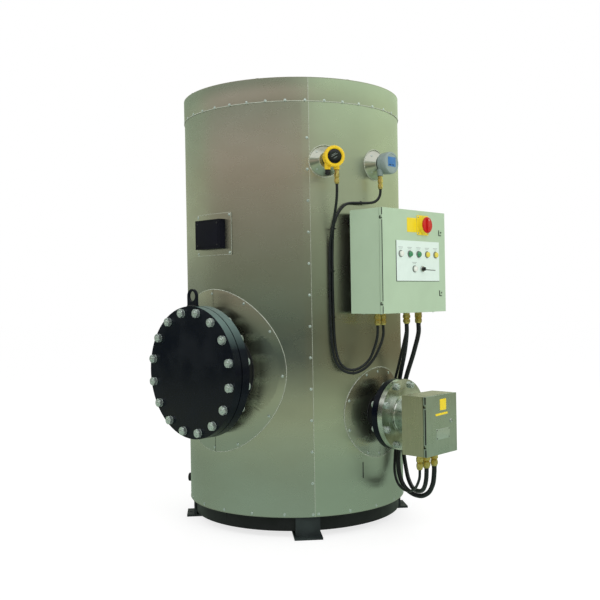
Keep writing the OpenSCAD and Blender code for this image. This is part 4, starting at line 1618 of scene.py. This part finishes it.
@dataclass(frozen=True)
class Gland:
    """A brass compression gland with a rubber seal where the cable leaves it."""

    x: float
    y: float
    z: float
    radius: float
    length: float
    cable: float

    def add_to(self, metal: Form, rubber: Form) -> None:
        """Adds the body, lock ring and cap nut, and the seal.

        Args:
            metal: the mesh that takes the brass.
            rubber: the mesh that takes the washer and the seal.
        """
        frame = aimed((self.x, self.y, self.z), DOWN)
        frame = frame @ Matrix.Rotation(math.radians((self.x + self.y) % 60.0), 4, "Z")
        r, n = self.radius, self.length
        flats = r * 1.72
        rubber.lathe(frame, [(r * 0.98, 0.0), (r * 0.98, 1.6), (r * 0.9, 2.4)], 24)
        metal.lathe(frame, [(r * 0.84, 2.0), (r * 0.84, n * 0.24)], 24)
        metal.hexagon(frame, flats, n * 0.24, n * 0.5)
        thread = [(r * 0.8, n * 0.5)]
        for i in range(3):
            thread += [(r * 0.8, n * (0.505 + i * 0.03)), (r * 0.74, n * (0.52 + i * 0.03))]
        metal.lathe(frame, [*thread, (r * 0.74, n * 0.6)], 24)
        metal.hexagon(frame, flats * 0.95, n * 0.6, n * 0.86, 0.08)
        cap = ((0.82, 0.85), (0.8, 0.9), (0.68, 0.965), (0.6, 0.975))
        metal.lathe(frame, [(r * wide, n * along) for wide, along in cap], 24)
        seal = max(self.cable + 1.4, r * 0.5)
        rubber.lathe(frame, [(seal, n * 0.95), (seal, n * 0.985), (self.cable + 0.5, n), (self.cable * 0.9, n)], 20)


def put_glands(shop: Workshop, glands: Sequence[Gland], name: str, node: str) -> None:
    """Builds a row of glands that stands for a node.

    Args:
        shop: the workshop.
        glands: the glands.
        name: the name that their pieces start with.
        node: the node that they stand for.
    """
    metal, rubber = Form(), Form()
    for gland in glands:
        gland.add_to(metal, rubber)
    shop.put(metal, name + "_brass", Finishes.BRASS, replaces=[node])
    shop.put(rubber, name + "_seals", Finishes.RUBBER)


@dataclass(frozen=True)
class Mouth:
    """What closes the gap between an enclosure's rim and its tray door.

    The frame stands in the enclosure's middle, with Z towards the door.
    """

    door: str
    frame: Matrix
    width: float
    height: float

    def lip(self, shop: Workshop, top: float, name: str, finish: Finish) -> None:
        """Adds the folded lip on the rim, which narrows the gap.

        Args:
            shop: the workshop.
            top: how far the lip reaches towards the door.
            name: the piece's name.
            finish: its material.
        """
        form, sheet, deep = Form(), 1.6, 5.8
        for end in (-1, 1):
            side, head = end * (self.width / 2 - 0.9), end * (self.height / 2 - 0.9)
            form.slab(shifted(self.frame, side), sheet, self.height - 0.2, top - deep, top, 0.0)
            form.slab(shifted(self.frame, 0.0, head), self.width - 3.4, sheet, top - deep, top, 0.0)
        shop.put(form, name, finish)

    def seal(self, shop: Workshop, inset: float, low: float, high: float) -> None:
        """Adds the rubber seal between the tray and the rim.

        Args:
            shop: the workshop.
            inset: distance of the seal's middle from the enclosure's edge.
            low: where the seal starts along Z.
            high: where it ends along Z.
        """
        form, thick = Form(), inset - 5.0
        long, short = self.width - 2 * thick, self.height - 2 * inset - thick
        for end in (1, -1):
            form.slab(shifted(self.frame, 0.0, end * (self.height / 2 - inset)), long, thick, low, high)
        for end in (1, -1):
            form.slab(shifted(self.frame, end * (self.width / 2 - inset)), thick, short, low, high)
        shop.put(form, self.door + "_seal", Finishes.RUBBER, self.door)

    def paint_shade_strips(self, shop: Workshop, low: float, high: float, name: str) -> None:
        """Adds dark strips on both sides of the tray, between its hinge notches: painted shade for the shadowed gap
        along the door's edge.

        Args:
            shop: the workshop.
            low: where the trim starts along Z.
            high: where it ends along Z.
            name: the piece's name.
        """
        form, notch, short = Form(), 57.0, 33.0
        for x in (-self.width / 2 - 0.1, self.width / 2 + 0.1):
            form.slab(shifted(self.frame, x), 1.0, self.height - 2 * notch, low, high, 0.3)
            for y in (17.5 - self.height / 2, self.height / 2 - 17.5):
                form.slab(shifted(self.frame, x, y), 1.0, short, low, high, 0.3)
        shop.put(form, name, Finishes.RUBBER, self.door)


# ---- terminal box


@dataclass
class TerminalBox:
    """The stainless box on the heater's tube, with its hinged door and three glands."""

    gland_reach: float = 52.0
    glands: tuple[tuple[float, float, float], ...] = ((-62.0, 17.0, 6.5), (-8.0, 20.0, 10.5), (55.0, 19.0, 11.5))

    def build(self, shop: Workshop) -> None:
        """Builds the door's fittings, the seal, the plates and the glands.

        Args:
            shop: the workshop.
        """
        low, high = extent("terminal_box")
        door_low, door_high = extent("terminal_door")
        middle = facing("terminal_box")
        front = shifted(middle, z=door_high.x)
        # The body's warm tint and the door's cool tint are painted reflections.
        shop.dress("terminal_box", Finishes.BOX_SIDE, 0.6)
        shop.dress("terminal_door", Finishes.BOX_FRONT, 0.6)
        mouth = Mouth("terminal_door", middle, high.y - low.y, high.z - low.z)
        mouth.seal(shop, 14.0, door_low.x - 6.6, door_low.x + 11.0)
        # Dark strips on the door's sides are painted shade for the gap at its edge.
        mouth.paint_shade_strips(shop, door_high.x - 8.0, door_high.x - 0.8, "terminal_door_painted_shade_strips")
        mouth.lip(shop, door_low.x - 2.4, "terminal_rim_lip", Finishes.BOX_SIDE)
        plates = Form().slab(shifted(front, 12.0, 92.0), 50.0, 52.0, 0.0, 1.0, 4.0, 0.4)
        plates.slab(shifted(front, 0.0, 49.0) @ Matrix.Rotation(0.03, 4, "Z"), 98.0, 10.0, 0.0, 0.8, 2.0, 0.3)
        shop.put(plates, "terminal_door_yellow_plates", Finishes.YELLOW, "terminal_door")
        plate = shifted(front, 9.0, -43.0)
        bare, rivets = Form().slab(plate, 108.0, 49.0, 0.0, 1.2, 3.0, 0.4), Form()
        shop.put(bare, "terminal_door_bare_plate", Finishes.PLATE, "terminal_door")
        for x, y in corners(48.0, 19.0):
            screw(rivets, shifted(plate, x, y, 1.1), 2.0, 1.2)
        shop.put(rivets, "terminal_door_rivets", Finishes.BLACK_PLASTIC, "terminal_door")
        here = shifted(front, 76.0, 10.0)
        lock = Form().lathe(here, [(9.5, 0.0), (9.5, 2.0), (8.5, 4.0), (6.4, 4.6), (6.0, 2.4), (3.0, 2.2)], 28)
        lock.slab(here, 4.6, 4.6, 2.0, 5.2, 0.8, 0.6)
        shop.put(lock, "terminal_door_lock", Finishes.CHROME, "terminal_door")
        self.back(shop, low, high)
        reach = low.z - extent("terminal_glands")[0].z
        metal = [Gland(low.x + self.gland_reach, y, low.z, r, reach, cable) for y, r, cable in self.glands]
        put_glands(shop, metal, "terminal_gland", "terminal_glands")

    @staticmethod
    def back(shop: Workshop, low: Vector, high: Vector) -> None:
        """Adds the screws that hold the box to its tube, and the earth stud on its side.

        Args:
            shop: the workshop.
            low: lowest corner of the box.
            high: highest corner of the box.
        """
        form = Form()
        frame = shifted(facing("terminal_box"), y=28.0)
        for angle in around(4, 45.0):
            form.hexagon(shifted(frame, *polar(98.0, angle)), 13.0, low.x - 6.0, low.x - 0.2)
        here = aimed((low.x + 26.0, high.y, low.z + 26.0), (0.0, 1.0, 0.0))
        form.lathe(here, [(9.0, 0.0), (9.0, 1.4), (8.6, 1.6)], 20)
        form.hexagon(here, 10.0, 1.5, 6.5)
        shop.put(form, "terminal_box_bolts", Finishes.ZINC)


# ---- control panel


class Lamp(Enum):
    """The caps on the panel's lamps."""

    WHITE = Finishes.GLASS_WHITE
    GREEN = Finishes.GLASS_GREEN
    AMBER = Finishes.GLASS_AMBER


@dataclass
class ControlPanel:
    """The painted panel with its door, legend plate, lamps, isolator and key switch."""

    legend: tuple[float, float, float, float] = (23.0, 2.0, 345.0, 190.0)
    lamps: tuple[tuple[float, float, Lamp], ...] = (
        (-117.0, 34.0, Lamp.WHITE),
        (-47.0, 34.0, Lamp.GREEN),
        (23.0, 34.0, Lamp.GREEN),
        (93.0, 34.0, Lamp.AMBER),
        (163.0, 34.0, Lamp.AMBER),
        (-10.0, -36.0, Lamp.WHITE),
    )
    glands: tuple[tuple[float, float, float, float], ...] = (
        (690.0, -152.0, 16.0, 6.5),
        (690.0, -110.0, 16.0, 6.5),
        (690.0, 76.0, 19.0, 10.5),
        (690.0, 174.0, 21.0, 11.5),
        (650.0, 128.0, 15.0, 6.5),
    )

    def build(self, shop: Workshop) -> None:
        """Builds the panel from its body to the lamps.

        Args:
            shop: the workshop.
        """
        low, high = extent("panel_body")
        door_low, door_high = extent("panel_door")
        middle, width, height = facing("panel_body"), high.y - low.y, high.z - low.z
        front = shifted(middle, z=door_high.x)
        shop.dress("panel_body", Finishes.PANEL, 0.7)
        shop.dress("panel_door", Finishes.PANEL, 0.7)
        shop.dress("panel_brackets", Finishes.RAIL, 1.0)
        Mouth("panel_door", middle, width, height).seal(shop, 15.0, door_low.x - 6.6, door_low.x + 14.0)
        mouth = Mouth("panel_door", middle, width, door_high.z - door_low.z)
        mouth.lip(shop, door_low.x - 1.8, "panel_rim_lip", Finishes.PANEL)
        # Dark strips on the door's sides are painted shade for the gap at its edge.
        mouth.paint_shade_strips(shop, door_high.x - 4.6, door_high.x - 0.6, "panel_door_painted_shade_strips")
        # A dark sheet on the panel's back is painted shade: the cladding mirrors it as the shadowed gap behind the
        # panel.
        plate = Form().slab(middle, width - 8.0, height - 8.0, low.x - 1.2, low.x + 0.4, 6.0)
        shop.put(plate, "panel_back_painted_shade_sheet", Finishes.MATT_BLACK)
        self.legend_plate(shop, front)
        self.lamp_row(shop, front)
        self.isolator(shop)
        self.key_switch(shop, front)
        self.locks(shop, front)
        self.underside(shop, low, high)
        put_glands(shop, [Gland(x, y, low.z, r, 58.0, c) for x, y, r, c in self.glands], "panel_gland", "panel_glands")

    def legend_plate(self, shop: Workshop, front: Matrix) -> None:
        """Dresses the legend plate and adds its plain dashes, a dark backing that shows to its left and below it as a
        painted shadow, and the yellow plate above it.

        Args:
            shop: the workshop.
            front: the frame on the door's face.
        """
        shop.dress("legend_plate", Finishes.LEGEND, 0.6)
        x, y, width, height = self.legend
        marks, face = Form(), shifted(front, z=2.0)
        for lamp_x, lamp_y, _ in self.lamps:
            marks.slab(shifted(face, lamp_x, lamp_y + 31.0), 36.0, 3.0, 0.0, 0.2, 0.5)
            marks.slab(shifted(face, lamp_x, lamp_y + 25.0), 26.0, 2.4, 0.0, 0.2, 0.5)
        # A dark backing set off to the left and down: a painted shadow of the legend plate.
        shadow_sheet = Form().slab(shifted(front, x - 1.6, y - 1.4), width + 2.4, height + 2.0, 0.0, 1.7, 2.0)
        shop.put(marks, "legend_marks", Finishes.MARKS, "panel_door")
        shop.put(shadow_sheet, "legend_painted_shadow_backing", Finishes.RUBBER, "panel_door")
        yellow = Form().slab(shifted(front, -25.0, 172.0), 76.0, 68.0, 0.0, 1.2, 5.0, 0.4)
        shop.put(yellow, "panel_yellow_plate", Finishes.YELLOW, "panel_door")

    def lamp_row(self, shop: Workshop, front: Matrix) -> None:
        """Builds each lamp's ring and its domed cap.

        Args:
            shop: the workshop.
            front: the frame on the door's face.
        """
        rings = Form()
        caps = {kind: Form() for kind in Lamp}
        ring = [(12.0, 2.0), (16.5, 2.0), (16.5, 5.0), (15.6, 6.0), (13.8, 6.4), (13.0, 5.6), (12.0, 5.6)]
        cap = [(13.0, 2.0), (13.0, 11.0), (12.4, 13.0), (10.4, 14.6), (6.4, 15.6), (2.0, 15.9)]
        for x, y, kind in self.lamps:
            here = shifted(front, x, y)
            rings.lathe(here, ring, 36, wrap=True)
            caps[kind].lathe(here, cap, 32)
        shop.put(rings, "lamp_rings", Finishes.GREY_PLASTIC, "panel_door", replaces=["panel_lamps"])
        for kind, form in caps.items():
            shop.put(form, "lamp_caps_" + kind.name.lower(), kind.value, "panel_door")

    def isolator(self, shop: Workshop) -> None:
        """Builds the yellow isolator plate with its collar and the red handle that turns on it.

        Args:
            shop: the workshop.
        """
        low, high = extent("isolator_plate")
        knob_low, knob_high = extent("isolator_knob")
        frame = facing("isolator_plate")
        size, back, seat = high.y - low.y, low.x, high.x
        plate = Form().slab(frame, size, size, back, back + 4.0, 7.0, 1.0)
        collar = [(44.0, back + 3.5), (43.0, back + 6.0), (41.0, seat - 1.5), (39.6, seat)]
        plate.lathe(frame, [(6.6, back + 3.5), *collar, (6.6, seat)], 64, wrap=True)
        shop.put(plate, "isolator_front", Finishes.YELLOW, "panel_door", replaces=["isolator_plate"])
        screws = Form()
        for x, y in corners(size / 2 - 9.0, size / 2 - 9.0):
            screw(screws, shifted(frame, x, y, back + 4.0), 3.6, 2.0)
        shop.put(screws, "isolator_screws", Finishes.CHROME, "panel_door")
        radius, top = (knob_high.y - knob_low.y) / 2, knob_high.x
        base = seat + 0.5
        disc = [(radius - inset, base + z) for inset, z in ((1.5, 0.0), (0.0, 1.5), (0.0, 4.5), (1.8, 6.5), (5.0, 7.0))]
        handle = Form().lathe(frame, [(5.8, knob_low.x), (5.8, base), *disc], 64)
        handle.slab(frame, radius * 0.52, radius * 1.82, base + 5.0, top, 7.0, 2.5)
        for angle in around(24, 7.5):
            handle.slab(out_at(frame, radius - 0.7, angle), 2.0, 4.6, base + 1.2, base + 5.0, 0.6, 0.5)
        shop.put(handle, "isolator_handle", Finishes.RED, "isolator_knob", replaces=["isolator_knob"])
        pointer = Form().slab(shifted(frame, y=radius * 0.62), 2.4, 12.0, top - 0.3, top + 0.3, 0.8)
        shop.put(pointer, "isolator_pointer", Finishes.LEGEND, "isolator_knob")

    @staticmethod
    def key_switch(shop: Workshop, front: Matrix) -> None:
        """Builds the key switch's ring and barrel with its slot, and the dark strip beside it.

        Args:
            shop: the workshop.
            front: the frame on the door's face.
        """
        low, high = extent("key_switch")
        knob_low, knob_high = extent("key_knob")
        frame = facing("key_switch")
        radius = (high.y - low.y) / 2
        outside = [(radius, low.x), (radius, high.x - 3.0), (radius - 2.0, high.x)]
        ring = Form().lathe(frame, [(6.5, low.x), *outside, (6.5, high.x)], 40, wrap=True)
        shop.put(ring, "key_switch_ring", Finishes.CHROME, "panel_door", replaces=["key_switch"])
        r, seat = (knob_high.y - knob_low.y) / 2, high.x + 0.5
        turned = [(5.8, knob_low.x), (5.8, seat), (r, seat), (r, seat + 6.5), (r - 1.2, seat + 7.5)]
        barrel = Form().lathe(frame, turned, 32)
        barrel.slab(frame, 4.6, r * 1.8, seat + 6.0, knob_high.x, 1.6, 1.0)
        shop.put(barrel, "key_switch_barrel", Finishes.BLACK_PLASTIC, "key_knob", replaces=["key_knob"])
        tilted = shifted(front, 122.0, -40.0) @ Matrix.Rotation(-0.03, 4, "Z")
        strip = Form().slab(tilted, 80.0, 4.4, 2.0, 3.0, 1.2, 0.4)
        shop.put(strip, "key_switch_strip", Finishes.GREY_PLASTIC, "panel_door")

    @staticmethod
    def locks(shop: Workshop, front: Matrix) -> None:
        """Builds the two quarter-turn locks with their turned keys' hoods.

        Args:
            shop: the workshop.
            front: the frame on the door's face.
        """
        metal, dark = Form(), Form()
        for y in (145.0, -151.0):
            here = shifted(front, 212.0, y)
            metal.lathe(here, [(9.0, 0.0), (9.0, 1.6), (7.6, 2.6), (6.4, 2.8), (6.2, 1.8), (3.0, 1.6)], 28)
            dark.slab(here, 5.0, 7.0, 1.6, 4.0, 0.8, 0.4)
            dark.slab(shifted(here, -15.0, -1.0), 4.0, 26.0, 0.0, 2.0, 1.8, 0.6)
            dark.slab(shifted(here, -6.0, -14.5), 20.0, 4.0, 0.0, 2.0, 1.8, 0.6)
        shop.put(metal, "panel_lock_bodies", Finishes.PANEL, "panel_door")
        shop.put(dark, "panel_lock_tongues", Finishes.BLACK_PLASTIC, "panel_door")

    @staticmethod
    def underside(shop: Workshop, low: Vector, high: Vector) -> None:
        """Adds the gland plate under the panel with its screws, and the rails' bolts.

        Args:
            shop: the workshop.
            low: lowest corner of the panel's body.
            high: highest corner of the panel's body.
        """
        bolts, side, width = Form(), (low.y + high.y) / 2, high.y - low.y
        under = aimed((low.x + 92.0, side, low.z), DOWN, (1.0, 0.0, 0.0))
        plate = Form().slab(under, width - 60.0, 120.0, -0.5, 2.0, 6.0, 0.6)
        for x in (low.x + 40.0, low.x + 144.0):
            for y in (-1, 0, 1):
                screw(bolts, aimed((x, side + y * (width / 2 - 42.0), low.z - 2.0), DOWN), 4.5, 2.4)
        rail_low, rail_high = extent("panel_brackets")
        for y in (rail_low.y + 22.0, rail_high.y - 22.0):
            for z in (rail_low.z + 20.0, rail_high.z - 20.0):
                bolts.hexagon(aimed((low.x - 18.0, y, z), (-1.0, 0.0, 0.0)), 13.0, 0.0, 7.0)
        shop.put(plate, "panel_gland_plate", Finishes.PANEL)
        shop.put(bolts, "panel_bolts", Finishes.ZINC)


# ---- instruments


@dataclass
class Instruments:
    """The yellow and the grey transmitter on their stems, each behind a weather cone."""

    gland: float = 66.0
    collar: float = 606.0

    def build(self, shop: Workshop) -> None:
        """Builds both instruments and their cones.

        Args:
            shop: the workshop.
        """
        shop.dress("weather_cones", Finishes.CLADDING_PALE, 0.8)
        shop.dress("instrument_stems", Finishes.STAINLESS)
        height = extent("yellow_housing")[1].z - 50.0
        self.yellow(shop, radial(60.0, height))
        self.grey(shop, radial(90.0, height))
        self.cones(shop, height)
        glands = [
            Gland(601.0, -324.0, 1729.0, 13.0, self.gland, 6.5),
            Gland(626.0, -32.0, 1725.0, 13.0, self.gland, 6.5),
        ]
        put_glands(shop, glands, "instrument_gland", "instrument_glands")

    def cones(self, shop: Workshop, height: float) -> None:
        """Adds the rolled rim, the sealing collar and the screws of both weather cones.

        Args:
            shop: the workshop.
            height: height of the instruments.
        """
        rims, seals, screws = Form(), Form(), Form()
        top = self.collar
        seal = [(13.0, top - 0.5), (24.0, top - 0.5), (23.0, top + 3.0), (14.5, top + 5.0), (13.0, top + 5.0)]
        for azimuth in (60.0, 90.0):
            frame = radial(azimuth, height)
            angles = [math.radians(a) for a in around(72)]
            foot = [(78.0 * math.cos(a), 76.0 * math.sin(a)) for a in angles]
            rims.ring([curved(azimuth, height, x, y, SKIN + 0.6) for x, y in foot], 2.0, 6)
            rims.ring([frame @ Vector((*polar(39.4, a), top - 0.4)) for a in around(72)], 1.4, 6)
            seals.lathe(frame, seal, 40, wrap=True)
            for a in (0.6, 2.4, 3.9, 5.4):
                x, y = math.cos(a), math.sin(a)
                lean = frame.to_3x3() @ Vector((0.75 * x, 0.75 * y, 0.66))
                screw(screws, aimed(frame @ Vector((60.0 * x, 60.0 * y, 584.4)), lean), 3.4, 2.0)
        shop.put(rims, "weather_cone_rims", Finishes.CLADDING_EDGE)
        shop.put(seals, "weather_cone_seals", Finishes.RUBBER)
        shop.put(screws, "weather_cone_screws", Finishes.ZINC)

    @staticmethod
    def boss(body: Form, frame: Matrix, x: float, z: float, straight: float) -> None:
        """Adds a boss for a gland under a housing.

        Args:
            body: the housing's mesh.
            frame: the instrument's frame.
            x: distance to the right.
            z: distance along the frame's Z.
            straight: length of its straight part.
        """
        under = aimed(frame @ Vector((x, -30.0, z)), DOWN)
        end = [(14.5, straight), (13.0, straight + 4.0), (12.6, straight + 6.0)]
        body.lathe(under, [(14.5, 0.0), *end], 32)

    def yellow(self, shop: Workshop, frame: Matrix) -> None:
        """Builds the yellow transmitter: a finned barrel with a ribbed cap, a window and two bosses.

        Args:
            shop: the workshop.
            frame: its frame.
        """
        neck = [(18.0, 658.2), (22.0, 659.0), (24.0, 664.0), (40.0, 667.0), (44.0, 670.0)]
        barrel = [(45.0, 676.0), (45.0, 694.0), (43.0, 696.0)]
        body = Form().lathe(frame, neck + barrel, 64)
        rim = [(34.0, 711.0), (34.0, 717.0), (38.0, 721.5), (44.5, 721.0), (48.5, 717.0)]
        cap = [(48.8, 702.0), (47.0, 698.0), (44.0, 696.5), (34.0, 697.0)]
        body.lathe(frame, rim + cap, 72, wrap=True)
        for angle in around(20):
            body.slab(out_at(frame, 47.6, angle), 4.6, 7.0, 700.5, 715.5, 2.0, 1.0)
        for x in (20.0, -24.0):
            self.boss(body, frame, x, 682.4, 22.0)
        shop.put(body, "yellow_transmitter", Finishes.YELLOW_CAST, replaces=["yellow_housing"])
        glass = Form().lathe(frame, [(34.4, 697.0), (34.4, 714.5), (33.0, 715.4), (16.0, 716.2), (4.0, 716.4)], 56)
        shop.put(glass, "yellow_transmitter_window", Finishes.WINDOW)
        dial = Form()
        tilted = shifted(frame, 0.0, 1.0) @ Matrix.Rotation(math.radians(28.0), 4, "Z")
        for y, width in ((9.0, 24.0), (3.5, 34.0), (-8.0, 20.0)):
            dial.slab(shifted(tilted, 0.0, y), width, 2.6, 715.6, 716.9, 1.0)
        shop.put(dial, "yellow_transmitter_marks", Finishes.GREY_PLASTIC)
        under = aimed(frame @ Vector((-24.0, -58.0, 682.4)), DOWN)
        plug = Form().hexagon(under, 21.0, 0.0, 9.0)
        plug.lathe(under, [(11.4, 8.5), (11.7, 12.0), (11.7, 20.0), (9.6, 24.0), (5.0, 25.8)], 24)
        shop.put(plug, "yellow_transmitter_plug", Finishes.BLACK_PLASTIC)

    def grey(self, shop: Workshop, frame: Matrix) -> None:
        """Builds the grey transmitter: a round barrel with a flat face, its blue plate and its boss.

        Args:
            shop: the workshop.
            frame: its frame.
        """
        neck = [(20.0, 612.2), (26.0, 613.0), (32.0, 616.0), (46.0, 619.0), (50.6, 622.0)]
        barrel = [(52.0, 627.0), (52.0, 642.0), (50.4, 644.0), (50.4, 646.5)]
        body = Form().lathe(frame, neck + barrel, 64)
        cap = [(49.0, 646.0), (53.2, 647.0), (53.8, 651.0), (53.4, 670.0), (51.6, 674.0), (48.0, 675.6)]
        face = [(44.0, 675.8), (42.4, 673.4), (12.0, 673.2)]
        body.lathe(frame, cap + face, 72)
        self.boss(body, frame, -32.0, 626.0, 26.0)
        shop.put(body, "grey_transmitter", Finishes.GREY_CAST, replaces=["grey_housing"])
        plate, glass = Form().slab(shifted(frame, 0.0, 5.0), 60.0, 46.0, 672.6, 674.4, 3.0, 0.4), Form()
        for x, width in ((-14.0, 16.0), (8.0, 12.0)):
            glass.slab(shifted(frame, x, -10.0), width, 4.0, 674.2, 674.9, 1.0, 0.2)
        shop.put(plate, "grey_transmitter_plate", Finishes.BLUE_PLATE)
        shop.put(glass, "grey_transmitter_window", Finishes.WINDOW)


# ---- nameplate, base


@dataclass
class Nameplate:
    """The bare black nameplate on its sheet flashing."""

    def build(self, shop: Workshop) -> None:
        """Builds the bracket's frame and plate, and screws the flashing down.

        Args:
            shop: the workshop.
        """
        sheet_low, sheet_high = extent("nameplate_sheet")
        low, high = extent("nameplate_box")
        middle = (low.z + high.z) / 2
        width, height = high.x - low.x, high.z - low.z
        shop.dress("nameplate_sheet", Finishes.CLADDING, 0.4)
        shop.dress("nameplate_box", Finishes.MATT_BLACK, 2.0)
        frame = radial(0.0, middle, -low.y)
        plate, rivets = Form().slab(frame, width - 22.0, height - 22.0, -0.5, 1.4, 4.0, 0.5), Form()
        for x, y in corners(width / 2 - 18.0, height / 2 - 18.0):
            screw(rivets, shifted(frame, x, y, 1.4), 3.2, 1.6)
        shop.put(plate, "nameplate_bare_plate", Finishes.MATT_BLACK)
        shop.put(rivets, "nameplate_rivets", Finishes.BLACK_PLASTIC)
        screws, level = Form(), (sheet_low.z + sheet_high.z) / 2
        half_w, half_h = sheet_high.x, (sheet_high.z - sheet_low.z) / 2
        for x, y in corners(half_w - 12.0, half_h - 11.0):
            screw(screws, on_skin(0.0, level, x, y, SKIN + 1.9), 5.0)
        shop.put(screws, "nameplate_screws", Finishes.ZINC)
        outline = rounded(2 * half_w - 2.0, 2 * half_h - 2.0, 3.0, 2)
        path = []
        for (x0, y0), (x1, y1) in zip(outline, outline[1:] + outline[:1]):
            count = max(int(math.hypot(x1 - x0, y1 - y0) // 12.0), 1)
            steps = [(x0 + (x1 - x0) * i / count, y0 + (y1 - y0) * i / count) for i in range(count)]
            path += [curved(0.0, level, x, y, SKIN + 1.4) for x, y in steps]
        shop.put(Form().ring(path, 1.1, 6), "nameplate_sheet_edge", Finishes.CLADDING_EDGE)


@dataclass
class Base:
    """The skirt, its feet and the drain."""

    feet: tuple[float, ...] = (49.0, 139.0, 229.0, 319.0)
    leg_side: float = 58.5
    thread_start: float = 594.0
    thread_pitch: float = 2.6

    def build(self, shop: Workshop) -> None:
        """Dresses the base and adds its welds and the drain's thread.

        Args:
            shop: the workshop.
        """
        shop.dress("base_skirt", Finishes.ROUGH_BLACK)
        shop.dress("vessel_lower_head", Finishes.ROUGH_BLACK)
        shop.dress("feet", Finishes.PALE_BLACK, 1.2)
        shop.dress("drain_pipe", Finishes.ROUGH_BLACK, 0.8)
        beads = Form()
        low, high = extent("base_skirt")

        def skin(x: float) -> float:
            """Gives the skirt's reach at a distance to the side."""
            return math.sqrt(high.x * high.x - x * x)

        for azimuth in self.feet:
            frame = radial(azimuth, 0.0)
            for x in (-self.leg_side, self.leg_side):
                upright = [frame @ Vector((x, low.z + y, skin(x) + 1.5)) for y in (2.0, 18.0, 34.0, 50.0, 66.0)]
                beads.tube(upright, 3.5, 6)
            level = [frame @ Vector((x, 11.0, skin(x) + 6.0)) for x in (-56.0, -30.0, 0.0, 30.0, 56.0)]
            beads.tube(level, 3.0, 6)
        shop.put(beads, "foot_welds", Finishes.ROUGH_BLACK)
        pipe_low, pipe_high = extent("drain_pipe")
        frame = radial(-60.0, (pipe_low.z + pipe_high.z) / 2)
        thread = Form()
        for i in range(9):
            z = self.thread_start + self.thread_pitch * i
            crest = [(21.8, z), (22.9, z + 1.3), (21.8, z + 2.4)]
            thread.lathe(frame, [*crest, (21.0, z + 2.4), (21.0, z)], 40, wrap=True)
        shop.put(thread, "drain_thread", Finishes.ROUGH_BLACK)


def main() -> None:
    """Builds the studio and the vessel, part by part."""
    logging.basicConfig(level=logging.INFO, format="%(name)s: %(message)s")
    shop = Workshop()
    Viewpoint().build()
    Cables().build(shop)
    for part in (Cladding(), Manway(), Heater(), TerminalBox(), ControlPanel(), Instruments(), Nameplate(), Base()):
        part.build(shop)
    Studio().build()


if __name__ == "__main__":
    main()
